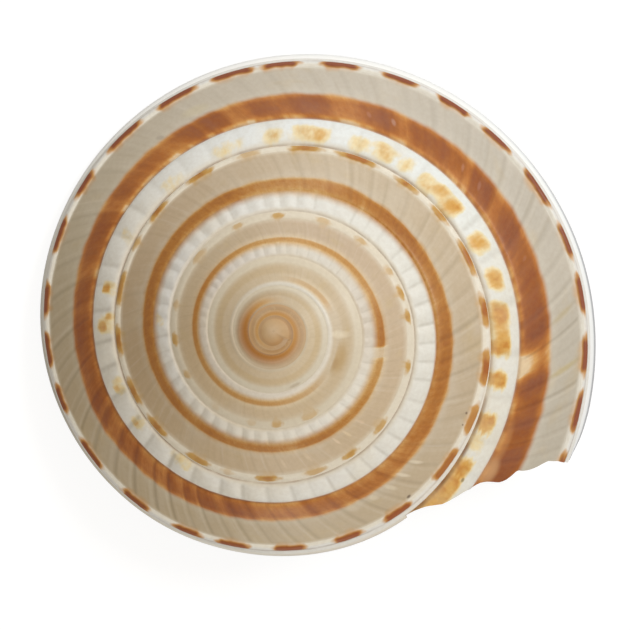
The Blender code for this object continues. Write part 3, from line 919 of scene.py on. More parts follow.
@dataclass(frozen=True)
class Base:
    """The keel and the base of the last whorl, in to the edge of the umbilicus. A slit is its
    place, its half width and its share of the full depth."""

    spiral: Spiral
    rows: Rows
    bow: float = -4.0
    run: float = 6.0
    reach: float = 3.0
    reach_rows: int = 10
    bulge: Knots = (
        (-400, 0.75), (-290, 0.72), (-250, 0.62), (-190, 0.7), (-150, 0.78), (-110, 1), (15, 1),
        (20, 0.72), (24.5, 0), (60, 0),
    )
    section: Knots = (
        (0, 0), (-0.009, 0.01), (-0.016, 0.026), (-0.008, 0.042), (0.009, 0.046), (0.022, 0.06),
        (0.046, 0.061), (0.14, 0.081), (0.28, 0.104), (0.43, 0.118), (0.58, 0.121), (0.665, 0.112),
    )
    ripple: float = 0.0008
    waves: tuple[tuple[float, float, int], ...] = ((0.6, 1.9, 21), (0.6, 4.3, 22))
    cord_place: float = 0.585
    cord_half: float = 0.045
    cord_size: float = 0.007
    bead_depth: float = 0.005
    bead_spacing: float = 7.5
    slit_depth: float = 0.004
    slits: tuple[tuple[float, float, float], ...] = ((0.645, 0.007, 1.0), (0.052, 0.006, 0.5))
    first_dash: float = -4.0
    dash_spacing: float = 13.0
    dash_half: float = 3.2
    dash_slope: float = 6.0
    keel_points: int = 6
    keel_columns: int = 22
    field_columns: int = 36

    def stations(self) -> Array:
        """Spreads the corners over the base.

        Returns:
            Where across it they lie, counted in points of its section.
        """
        keel = np.linspace(0, self.keel_points, self.keel_columns + 1)
        span = len(self.section) - 1 - self.keel_points
        field_share = np.linspace(0, 1, self.field_columns + 1)[1:]
        return np.concatenate([keel, self.keel_points + span * field_share])

    def outline(self, station: Array) -> Pair:
        """Reads the section of the base as a smooth line.

        Args:
            station: where across it, counted in points of the section.

        Returns:
            How far in from the seam and how far below it, as shares of the whorl's radius.
        """
        points = np.array(self.section)
        padded = np.vstack([2 * points[0] - points[1], points, 2 * points[-1] - points[-2]])
        k = np.clip(np.floor(station).astype(int), 0, len(points) - 2)
        t = (station - k)[..., None]
        a, b, c, d = (padded[k + j] for j in range(4))
        found = 0.5 * (
            2 * b + (c - a) * t + (2 * a - 5 * b + 4 * c - d) * t**2
            + (3 * b - a - 3 * c + d) * t**3
        )
        return found[..., 0], found[..., 1]

    def lead(self, inward: Array) -> Array:
        """Gives how far ahead of the keel a growth line is on the base."""
        share = np.clip(inward, 0, None) / self.section[-1][0]
        return self.bow * np.sin(np.pi * share) + self.run * share

    def relief(self, line: Array, inward: Array) -> Array:
        """Finds how far the base's cords, beads and ripples stand out.

        Args:
            line: the growth line.
            inward: how far in from the seam, as a share of the whorl's radius.

        Returns:
            The drop that they add, as a share of the whorl's radius.
        """
        field_share = smooth_step((inward - 0.05) / 0.05) * smooth_step((0.655 - inward) / 0.02)
        wave = sum(size * uneven(line, spacing, seed) for size, spacing, seed in self.waves)
        drop = self.ripple * wave * field_share
        cord = np.clip(1 - ((inward - self.cord_place) / self.cord_half) ** 2, 0, 1) ** 0.7
        groove = (np.cos(2 * np.pi * line / self.bead_spacing) * 0.5 + 0.5) ** 3
        drop = drop + cord * (self.cord_size - self.bead_depth * groove)
        slit = sum(
            share * np.exp(-(((inward - place) / half) ** 2)) for place, half, share in self.slits
        )
        fade = smooth_step((self.section[-1][0] - inward) / 0.012)
        return drop - self.slit_depth * slit * fade

    def corners(self, skin: Skin, row: Array, station: Array) -> Array:
        """Adds corners of the base to the skin.

        Args:
            skin: the skin.
            row: their rows.
            station: where across the base they are, counted in points of its section.

        Returns:
            The corners.
        """
        row, station = np.broadcast_arrays(np.asarray(row, float), np.asarray(station, float))
        inward, drop = self.outline(station)
        nearness = smooth_step(1 - (self.rows.last - row) / self.reach_rows)
        reach = self.reach * nearness * smooth_step(1 - inward / self.section[-1][0])
        angle = self.rows.angle(row) + self.lead(inward) + reach
        line = angle - self.lead(inward)
        radius = self.spiral.radius(angle)
        height = self.spiral.height(radius)
        inward = inward + np.minimum(inward, 0) * (straight(angle, self.bulge) - 1)
        drop = drop + self.relief(line, inward)
        return skin.add(
            angle, radius * (1 - inward), height - drop * radius,
            growth=angle, band=station, line=line, bead=line / self.bead_spacing,
            dash=self.dash(angle), ink=0.9,
        )

    def dash(self, angle: Array) -> Array:
        """Gives how far inside one of the base's evenly spaced dashes points are."""
        count = (angle - self.first_dash) / self.dash_spacing
        return self.dash_half - self.dash_slope * np.abs(count - np.round(count)) * 2.0

    def build(self, skin: Skin, seam: Array) -> tuple[Array, Array, Array]:
        """Sews the keel and the base.

        Args:
            skin: the skin to sew them into.
            seam: the corners along the seam above the keel, one for each row.

        Returns:
            The corners of the first row, of the last row, and along the umbilicus.
        """
        rows = np.arange(self.rows.last - self.rows.shared_gap, self.rows.last + 1)
        ids = self.corners(skin, rows[:, None], self.stations()[None, :])
        skin.join(ids[:, 0], seam[rows])
        skin.sheet(ids, Zone.BASE)
        return ids[0], ids[-1], ids[:, -1]


@dataclass(frozen=True)
class Umbilicus:
    """The wall of the umbilicus, with the toothed cord along the foot of each whorl."""

    spiral: Spiral
    rows: Rows
    base: Base
    whorls: float = 2.8
    section: Sequence[tuple[float, float, float]] = (
        (0, 0, 0), (0, 0.038, 0.022), (0.1, 0.048, 0.012), (0.5, 0.036, 0), (1, 0, 0),
    )
    tooth: float = 0.012
    tooth_height: float = 0.62
    tooth_bluntness: float = 1.4
    tooth_droop: float = 0.35
    tooth_rows: int = 6
    stations: tuple[float, ...] = (
        0.0, 0.3, 0.55, 0.75, 0.9, 1.05, 1.25, 1.5, 1.75, 2.0, 2.3, 2.7, 3.1, 3.5, 4.0,
    )

    def foot(self, angle: Array) -> Pair:
        """Finds the edge of the base that the wall rises from.

        Args:
            angle: the growth angles.

        Returns:
            Its distances from the winding axis and its heights over the tip.
        """
        radius = self.spiral.radius(angle)
        inward, drop = self.base.section[-1]
        return radius * (1 - inward), self.spiral.height(radius) - drop * radius

    def corners(self, skin: Skin, row: Array, station: Array) -> Array:
        """Adds corners of the wall to the skin.

        Args:
            skin: the skin.
            row: their rows.
            station: how far up the wall they are, counted in points of its section.

        Returns:
            The corners.
        """
        row, station = np.broadcast_arrays(np.asarray(row, float), np.asarray(station, float))
        points = np.array(self.section)
        places = np.arange(len(points))
        rise, inward, drop = (
            curved(station, list(zip(places, points[:, k]))) for k in range(3)
        )
        ahead = self.rows.seam_lead * self.rows.step * rise
        angle = self.rows.angle(row) + self.base.run + ahead
        near = np.exp(-(((station - 1.0) / self.tooth_height) ** 2)) * smooth_step(station / 0.3)
        tooth = 0.5 - 0.5 * np.cos(2 * np.pi * row / self.tooth_rows)
        inward = inward + self.tooth * near * (tooth**self.tooth_bluntness * 2 - 1)
        drop = drop + self.tooth_droop * self.tooth * near * (tooth * 2 - 1)
        low, high = self.foot(angle), self.foot(angle - TURN)
        outer = self.spiral.radius(angle)
        radius = low[0] + (high[0] - low[0]) * rise - inward * outer
        height = low[1] + (high[1] - low[1]) * rise - drop * outer
        tooth_count = row / self.tooth_rows + 0.5
        return skin.add(
            angle, radius, height, growth=angle, band=station, line=angle - ahead, bead=tooth_count
        )

    def build(self, skin: Skin, feet: Array) -> Array:
        """Sews the wall up to its top.

        Args:
            skin: the skin to sew it into.
            feet: the corners along the edge of the base, one for each of its rows.

        Returns:
            The corners of the last row, from the foot up.
        """
        last, gap = self.rows.last, self.rows.shared_gap
        start = last - round(self.whorls * self.rows.in_whorl)
        rows = np.arange(start, last + 1)
        ids = self.corners(skin, rows[:, None], np.array(self.stations)[None, :])
        skin.join(ids[last - gap - start:, 0], feet)
        shared = rows - gap >= start
        low_rows = rows[shared] - gap - start
        skin.join(ids[shared, -1], skin.owners(ids[low_rows, 0]))
        skin.sheet(ids, Zone.UMBILICUS)
        loop = np.concatenate([ids[~shared, -1], ids[0, :-1]])
        point = (0.0, 0.0, skin.place_of(loop)[:, 2].max())
        skin.fan(loop, point, Zone.UMBILICUS, growth=self.rows.angle(start), band=self.stations[-1])
        return ids[-1]


@dataclass(frozen=True)
class Hollow:
    """The inside of the last two whorls, and the lip's edge in front of it. A span is the first
    and the last share of the way, and how many corners lie between them."""

    spiral: Spiral
    rows: Rows
    upper: UpperSide
    base: Base
    umbilicus: Umbilicus
    upper_span: tuple[float, float, int] = (0.12, 0.93, 15)
    base_span: tuple[float, float, int] = (0.05, 0.665, 12)
    wall_span: tuple[float, float, int] = (0.1, 0.75, 6)
    ceiling: float = 0.011
    cord: float = 0.04
    lead: float = 30.0
    lead_bow: float = 1.3
    wall: float = 0.036
    callus: float = 0.012
    lip_thickness: float = 0.017
    lip_reach: float = 0.93
    whorls: float = 2.0
    row_step: int = 3
    softening: int = 2

    def section(self, row: int) -> tuple[Array, Array, Array, Array]:
        """Reads the growth line round the tube at a row, from the upper side to the base before.

        Args:
            row: the row.

        Returns:
            Growth angles, radii, heights and wall thicknesses.
        """
        share = np.linspace(*self.upper_span)
        angle = self.rows.angle(row) + self.lead * (1 - share) ** self.lead_bow
        parts = [(angle, *self.upper.place(angle, share, self.ceiling), self.wall)]
        inward = np.linspace(*self.base_span)
        drop = np.interp(inward, *np.array(self.base.section[self.base.keel_points:]).T)
        before = row - self.rows.shared_gap
        for at, thickness, way in ((row, self.wall, 1), (before, self.callus, -1)):
            angle = self.rows.angle(at) + self.base.lead(inward)
            outer = self.spiral.radius(angle)
            radius, height = outer * (1 - inward), self.spiral.height(outer) - drop * outer
            parts.append((angle[::way], radius[::way], height[::way], thickness))
        rise = np.linspace(*self.wall_span)
        angle = self.rows.angle(row) + self.base.run + self.lead * rise
        low, high = self.umbilicus.foot(angle), self.umbilicus.foot(angle - TURN)
        outer = self.spiral.radius(angle)
        radius = low[0] + (high[0] - low[0]) * rise - self.cord * outer
        height = low[1] + (high[1] - low[1]) * rise
        parts.insert(2, (angle, radius, height, self.wall))
        angle, radius, height = (np.concatenate([part[k] for part in parts]) for k in range(3))
        thickness = np.concatenate([np.full(len(part[0]), part[3]) for part in parts])
        return angle, radius, height, thickness

    def ring(self, skin: Skin, row: int, at_lip: bool) -> Array:
        """Adds the corners of the hollow's section at a row.

        Args:
            skin: the skin.
            row: the row.
            at_lip: whether it is the first ring, which follows the lip's edge.

        Returns:
            The corners.
        """
        angle, radius, height, thickness = self.section(row)
        if at_lip:
            thickness = np.minimum(thickness, self.lip_thickness)
        for _ in range(self.softening):
            thickness = softened(thickness)
        along = np.roll(radius, -1) - np.roll(radius, 1)
        up = np.roll(height, -1) - np.roll(height, 1)
        length = np.hypot(along, up)
        size = thickness * self.spiral.radius(self.rows.angle(row))
        radius = radius + up / length * size
        height = height - along / length * size
        for _ in range(self.softening):
            radius, height = softened(radius), softened(height)
        if at_lip:
            share = np.linspace(*self.upper_span)
            reach = self.lip_reach * curved(share, self.upper.lip_shape)
            upper_angle = angle[:len(share)]
            upper_angle[:] = self.rows.angle(row) + self.upper.lead(upper_angle, share) + reach
        band = np.arange(len(angle)) / len(angle)
        return skin.add(angle, radius, height, growth=angle, band=band, line=angle)

    def build(self, skin: Skin, rim: Array) -> None:
        """Sews the lip's edge and the hollow behind it.

        Args:
            skin: the skin to sew them into.
            rim: the corners round the lip, from the upper side's inner end and all the way round.
        """
        previous: Array | None = None
        count = round(self.whorls * self.rows.in_whorl)
        for row in range(self.rows.last, self.rows.last - count - 1, -self.row_step):
            ids = self.ring(skin, row, row == self.rows.last)
            if previous is None:
                self.sew_lip(skin, rim, ids)
            else:
                skin.belt(previous, ids, Zone.HOLLOW)
            previous = ids
        centre = skin.place_of(previous).mean(axis=0)
        end = self.rows.angle(self.rows.last - count)
        skin.fan(previous, centre, Zone.HOLLOW, growth=end)

    def sew_lip(self, skin: Skin, rim: Array, ring: Array) -> None:
        """Joins the rim to the first ring of the hollow, nearest corner to nearest corner.

        Args:
            skin: the skin.
            rim: the corners round the lip.
            ring: the corners of the hollow's first ring.
        """
        rim_points, ring_points = skin.place_of(rim), skin.place_of(ring)
        nearest = [int(np.argmin(np.linalg.norm(rim_points - p, axis=1))) for p in ring_points]
        start = nearest[0]
        turned = np.concatenate([rim[start:], rim[: start + 1]])
        places = np.maximum.accumulate((np.array(nearest) - start) % len(rim))
        places = np.append(places, len(rim)).astype(float)
        lip = skin.add(*polar(skin.place_of(turned)))
        skin.join(lip, skin.owners(turned))
        skin.sew(list(zip(range(len(turned)), lip)), list(zip(places, closed(ring))), Zone.LIP)


@dataclass(frozen=True)
class Stance:
    """How the shell stands: leaned over until it rests on its base."""

    lean: float = 11.4
    towards: float = -153.0
    worn: float = 0.12

    def turn(self) -> Matrix:
        """Finds how the shell is turned.

        Returns:
            The turn from the upright winding axis to the resting one.
        """
        side = math.radians(-self.towards)
        axis = Vector((-math.sin(side), math.cos(side), 0))
        return Matrix.Rotation(math.radians(self.lean), 3, axis)

    def settle(self, mesh: bpy.types.Mesh) -> Vector:
        """Puts a mesh in its resting place, in metres.

        Args:
            mesh: the mesh, in millimetres, with its winding axis upright.

        Returns:
            Where the tip of the winding axis ends up.
        """
        points = np.empty(len(mesh.vertices) * 3)
        mesh.vertices.foreach_get("co", points)
        points = points.reshape(-1, 3) @ np.array(self.turn()).T
        low, high = points.min(axis=0), points.max(axis=0)
        shift = np.array([-(low[0] + high[0]) / 2, -(low[1] + high[1]) / 2, -low[2] - self.worn])
        points = points + shift
        points[:, 2] = np.maximum(points[:, 2], 0.0)
        mesh.vertices.foreach_set("co", (points * MM).ravel())
        mesh.update()
        return Vector(shift * MM)


def linear(red: int, green: int, blue: int) -> tuple[float, float, float, float]:
    """Turns a colour written from 0 to 255 into the linear values that shaders take."""
    values = [channel / 255 for channel in (red, green, blue)]
    return (*(v / 12.92 if v <= 0.04045 else ((v + 0.055) / 1.055) ** 2.4 for v in values), 1.0)


class Value:
    """A number or a colour that changes over the surface. A sum written with it becomes nodes."""

    def __init__(self, wire: "Wiring", socket: Socket) -> None:
        """Keeps the wiring, and the socket that gives the value."""
        self.wire, self.socket = wire, socket

    def __add__(self, other: "Number") -> "Value":
        """Adds another value."""
        return self.wire.math("ADD", self, other)

    def __sub__(self, other: "Number") -> "Value":
        """Takes another value away."""
        return self.wire.math("SUBTRACT", self, other)

    def __rsub__(self, other: float) -> "Value":
        """Takes this value away from a number."""
        return self.wire.math("SUBTRACT", other, self)

    def __mul__(self, other: "Number") -> "Value":
        """Multiplies by another value."""
        return self.wire.math("MULTIPLY", self, other)

    def __truediv__(self, other: "Number") -> "Value":
        """Divides by another value."""
        return self.wire.math("DIVIDE", self, other)

    def __rtruediv__(self, other: float) -> "Value":
        """Divides a number by this value."""
        return self.wire.math("DIVIDE", other, self)

    def __pow__(self, other: float) -> "Value":
        """Raises to a power."""
        return self.wire.math("POWER", self, other)

    def __abs__(self) -> "Value":
        """Drops the sign."""
        return self.wire.math("ABSOLUTE", self)

    def most(self, other: "Number") -> "Value":
        """Gives the larger of two values."""
        return self.wire.math("MAXIMUM", self, other)

    def least(self, other: "Number") -> "Value":
        """Gives the smaller of two values."""
        return self.wire.math("MINIMUM", self, other)

    def off_whole(self) -> "Value":
        """Gives how far a count is from the nearest whole number."""
        return self.wire.math("PINGPONG", self, 0.5)

    def between(
        self, start: "Number", end: "Number", low: "Number" = 0.0, high: "Number" = 1.0
    ) -> "Value":
        """Turns a range of values into another, with an even curve and flat ends.

        Args:
            start: where the range starts. It may be above its end.
            end: where the range ends.
            low: what its start turns into.
            high: what its end turns into.

        Returns:
            The new value.
        """
        node = self.wire.node("ShaderNodeMapRange")
        node.interpolation_type = "SMOOTHSTEP"
        for socket, given in zip(node.inputs, (self, start, end, low, high)):
            self.wire.put(given, socket)
        return Value(self.wire, node.outputs[0])

    def within(self, start: float, full: float, ebb: float, end: float) -> "Value":
        """Gives 1 from full to ebb and 0 before the start and after the end, softly between."""
        return self.between(start, full) * self.between(ebb, end, 1.0, 0.0)


Number = Value | float
Colour = Value | tuple
Shades = Sequence[tuple[float, int, int, int]]


class Wiring:
    """Puts nodes into a tree and joins them up."""

    def __init__(self, tree: Tree) -> None:
        """Keeps the tree that the nodes go into."""
        self.tree = tree
        self.known: dict[str, Value] = {}

    def put(self, value: Number | Colour, socket: Socket) -> None:
        """Joins a value to a socket, or sets the socket.

        Args:
            value: a value, a number, a linear colour, or a colour written from 0 to 255, which
                has three parts.
            socket: what it goes into.
        """
        if isinstance(value, Value):
            self.tree.links.new(value.socket, socket)
        elif isinstance(value, tuple) and len(value) == 3:
            socket.default_value = linear(*value)
        else:
            socket.default_value = value

    def node(self, kind: str, **inputs: Number | Colour) -> bpy.types.Node:
        """Adds a node, with its inputs named with _ for a space."""
        return self.fill(self.tree.nodes.new(kind), **inputs)

    def fill(self, node: bpy.types.Node, **inputs: Number | Colour) -> bpy.types.Node:
        """Sets or joins a node's inputs.

        Args:
            node: the node.
            **inputs: what goes into it, named with _ for a space.

        Returns:
            The node.
        """
        for name, value in inputs.items():
            self.put(value, node.inputs[name.replace("_", " ")])
        return node

    def marks(self, *names: str) -> list[Value]:
        """Reads some of the skin's marks, each with one node at most.

        Args:
            *names: which marks.

        Returns:
            Their values, in the same order.
        """
        for name in names:
            if name not in self.known:
                node = self.node("ShaderNodeAttribute")
                node.attribute_name = name
                self.known[name] = Value(self, node.outputs["Fac"])
        return [self.known[name] for name in names]

    def math(self, operation: str, first: Number, second: Number = 0.0) -> Value:
        """Works out one sum.

        Args:
            operation: which sum.
            first: its first number.
            second: its second number.

        Returns:
            The result.
        """
        node = self.node("ShaderNodeMath")
        node.operation = operation
        self.put(first, node.inputs[0])
        self.put(second, node.inputs[1])
        return Value(self, node.outputs[0])

    def mix(self, share: Number, first: Colour, second: Colour) -> Value:
        """Mixes two colours.

        Args:
            share: how much there is of the second, from 0 to 1.
            first: the one colour.
            second: the other.

        Returns:
            The mixed colour.
        """
        node = self.node("ShaderNodeMix")
        node.data_type = "RGBA"
        for k, given in ((0, share), (6, first), (7, second)):
            self.put(given, node.inputs[k])
        return Value(self, node.outputs[2])

    def cover(self, ground: Colour, *layers: tuple[Number, Colour]) -> Colour:
        """Lays colours over another, one after the other.

        Args:
            ground: the colour underneath.
            *layers: how much of it each layer hides, and the layer's colour.

        Returns:
            The colour on top.
        """
        for share, colour in layers:
            ground = self.mix(share, ground, colour)
        return ground

    def ramp(self, value: Value, start: float, end: float, shades: Shades) -> Value:
        """Reads a row of colours.

        Args:
            value: where to read it.
            start: the value at its first end.
            end: the value at its other end.
            shades: (value, red, green, blue) of each colour in it.

        Returns:
            The colour there.
        """
        place = self.node("ShaderNodeMapRange", Value=value)
        place.inputs["From Min"].default_value = start
        place.inputs["From Max"].default_value = end
        node = self.node("ShaderNodeValToRGB", Fac=Value(self, place.outputs[0]))
        elements = node.color_ramp.elements
        while len(elements) < len(shades):
            elements.new(0.5)
        for element, (at, *_) in zip(elements, shades):
            element.position = (at - start) / (end - start)
        for element, (_, *shade) in zip(elements, shades):
            element.color = linear(*shade)
        return Value(self, node.outputs[0])

    def noise(
        self, across: Number, along: Number = 0.0, up: Number = 0.0,
        scale: float = 1.0, detail: float = 2.0, rough: float = 0.5,
    ) -> Value:
        """Reads cloudy noise at a place.

        Args:
            across: the place's first number.
            along: its second number.
            up: its third number.
            scale: how many clouds a unit holds.
            detail: how many times finer clouds are added.
            rough: how strong those are.

        Returns:
            The noise there, mostly from 0.3 to 0.7.
        """
        place = self.node("ShaderNodeCombineXYZ", X=across, Y=along, Z=up)
        node = self.node(
            "ShaderNodeTexNoise", Vector=Value(self, place.outputs[0]), Scale=scale,
            Detail=detail, Roughness=rough,
        )
        return Value(self, node.outputs["Fac"])

    def group(self, tree: Tree, **inputs: Number) -> list[Value]:
        """Places a group of nodes.

        Args:
            tree: the group.
            **inputs: what goes into it, named with _ for a space.

        Returns:
            What comes out of it.
        """
        node = self.node("ShaderNodeGroup")
        node.node_tree = tree
        self.fill(node, **inputs)
        return [Value(self, socket) for socket in node.outputs]


class Effects:
    """The groups of nodes that several finishes share."""

    def __init__(self) -> None:
        """Builds each group once."""
        self.growth_lines = self.make_growth_lines()
        self.groove = self.make_groove()
        self.mottle = self.make_mottle()
        self.spot = self.make_spot()

    @staticmethod
    def start(
        name: str, inputs: Sequence[str], outputs: Sequence[str]
    ) -> tuple[Wiring, list[Value], list[Socket]]:
        """Begins a group of nodes.

        Args:
            name: its name.
            inputs: the names of its number inputs.
            outputs: the names of its number outputs.

        Returns:
            Its wiring, the values that come in, and the sockets by which its results leave.
        """
        tree = bpy.data.node_groups.new(name, "ShaderNodeTree")
        for labels, way in ((inputs, "INPUT"), (outputs, "OUTPUT")):
            for label in labels:
                tree.interface.new_socket(name=label, in_out=way, socket_type="NodeSocketFloat")
        wire = Wiring(tree)
        entry, leave = wire.node("NodeGroupInput"), wire.node("NodeGroupOutput")
        given = [Value(wire, entry.outputs[label]) for label in inputs]
        return wire, given, [leave.inputs[label] for label in outputs]

    def make_growth_lines(self) -> Tree:
        """Makes fine, uneven lines along the growth of the shell.

        Returns:
            The group.
        """
        wire, (line, across, spacing), (height,) = self.start(
            "growth lines", ("Line", "Across", "Spacing"), ("Height",)
        )
        place, drift = line / spacing, across * 0.35
        broad = wire.noise(place, drift, detail=1.0)
        fine = wire.noise(place * 3.1, drift, 7.3, rough=0.6)
        wire.put(broad * 0.6 + fine * 0.4, height)
        return wire.tree

    def make_groove(self) -> Tree:
        """Makes narrow grooves wherever a count is whole.

        Returns:
            The group.
        """
        wire, (count, width), (groove,) = self.start("groove", ("Count", "Width"), ("Groove",))
        wire.put(count.off_whole().between(0.0, width, 1.0, 0.0), groove)
        return wire.tree

    def make_mottle(self) -> Tree:
        """Makes soft clouds and fine grain all over the surface.

        Returns:
            The group.
        """
        wire, sizes, results = self.start(
            "mottle", ("Cloud Size", "Grain Size"), ("Cloud", "Grain")
        )
        place = Value(wire, wire.node("ShaderNodeTexCoord").outputs["Object"])
        for size, result, detail in zip(sizes, results, (3.0, 2.0)):
            noise = wire.node("ShaderNodeTexNoise", Vector=place, Scale=1.0 / size, Detail=detail)
            wire.put(Value(wire, noise.outputs["Fac"]), result)
        return wire.tree

    def make_spot(self) -> Tree:
        """Makes one soft-edged spot at a place on a whorl.

        Returns:
            The group.
        """
        wire, (growth, across, centre, middle, length, width), (spot,) = self.start(
            "spot",
            ("Growth", "Across", "At Growth", "At Across", "Half Length", "Half Width"),
            ("Spot",),
        )
        away = abs((growth - centre) / length) ** 2.0 + abs((across - middle) / width) ** 2.0
        near = away.between(0.0, 1.7, 1.0, 0.0)
        wire.put(near * near, spot)
        return wire.tree


class Surface(Wiring):
    """The wiring of one finish, with the effects that it is dressed with."""

    def __init__(
        self, tree: Tree, effects: Effects, cloud_size: float, grain_size: float
    ) -> None:
        """Keeps the effects and spreads the clouds and the grain.

        Args:
            tree: the tree that the nodes go into.
            effects: the groups of nodes that the finishes share.
            cloud_size: how large a cloud is, in metres.
            grain_size: how large a grain is, in metres.
        """
        super().__init__(tree)
        self.effects = effects
        self.cloud, self.grain = self.group(
            effects.mottle, Cloud_Size=cloud_size, Grain_Size=grain_size
        )

    def growth_lines(self, spacing: float) -> Value:
        """Gives the height of the growth lines, which lie the given number of degrees apart."""
        line, band = self.marks("line", "band")
        return self.group(self.effects.growth_lines, Line=line, Across=band, Spacing=spacing)[0]

    def groove(self, count: Value, width: float) -> Value:
        """Gives 1 in the middle of a groove, one wherever a count is whole, and 0 off it."""
        return self.group(self.effects.groove, Count=count, Width=width)[0]


@dataclass(frozen=True)
class Glaze:
    """What every finish of the shell has in common: the hard, softly glossy surface. Its clouds
    and grain are measured in metres."""

    effects: Effects
    name: str = "glaze"
    cloud_size: float = 0.004
    grain_size: float = 0.0004
    roughness: float = 0.42
    polish: float = 0.06
    wear: float = 0.22
    coat: float = 0.06
    coat_roughness: float = 0.18
    shine: float = 0.28
    bump: float = 0.24
    relief: float = 0.06 * MM

    def paint(self, wire: Surface) -> tuple[Value, Value, Value]:
        """Paints the surface. Each finish has its own way.

        Args:
            wire: the surface's wiring.

        Returns:
            The colour, the fine relief from 0 to 1, and how dull the surface is from 0 to 1.
        """
        raise NotImplementedError

    def make(self) -> bpy.types.Material:
        """Builds the material.

        Returns:
            The material.
        """
        material = bpy.data.materials.new(self.name)
        material.use_nodes = True
        wire = Surface(material.node_tree, self.effects, self.cloud_size, self.grain_size)
        colour, height, dull = self.paint(wire)
        bump = wire.node("ShaderNodeBump", Height=height, Strength=self.bump, Distance=self.relief)
        smoothest, dullest = self.roughness - self.polish, self.roughness + self.wear
        wire.fill(
            material.node_tree.nodes["Principled BSDF"],
            Base_Color=colour,
            Roughness=dull.between(0.0, 1.0, smoothest, dullest),
            Normal=Value(wire, bump.outputs["Normal"]),
            Specular_IOR_Level=self.shine,
            Coat_Weight=self.coat,
            Coat_Roughness=self.coat_roughness,
        )
        return material


@dataclass(frozen=True)
class Speck:
    """A soft spot of grit, wear or glaze. It lies across the whorl by the count of bands."""

    at: float
    across: float
    half_length: float
    half_width: float
    strength: float
    shade: tuple[int, int, int]

    def lay(self, wire: Surface, along: Value, colour: Value) -> Value:
        """Lays the spot over a colour.

        Args:
            wire: the surface's wiring.
            along: what its place along the whorl is counted in.
            colour: the colour.

        Returns:
            The colour with the spot.
        """
        band, = wire.marks("band")
        spot, = wire.group(
            wire.effects.spot, Growth=along, Across=band, At_Growth=self.at,
            At_Across=self.across, Half_Length=self.half_length, Half_Width=self.half_width,
        )
        return wire.mix(spot * self.strength, colour, self.shade)


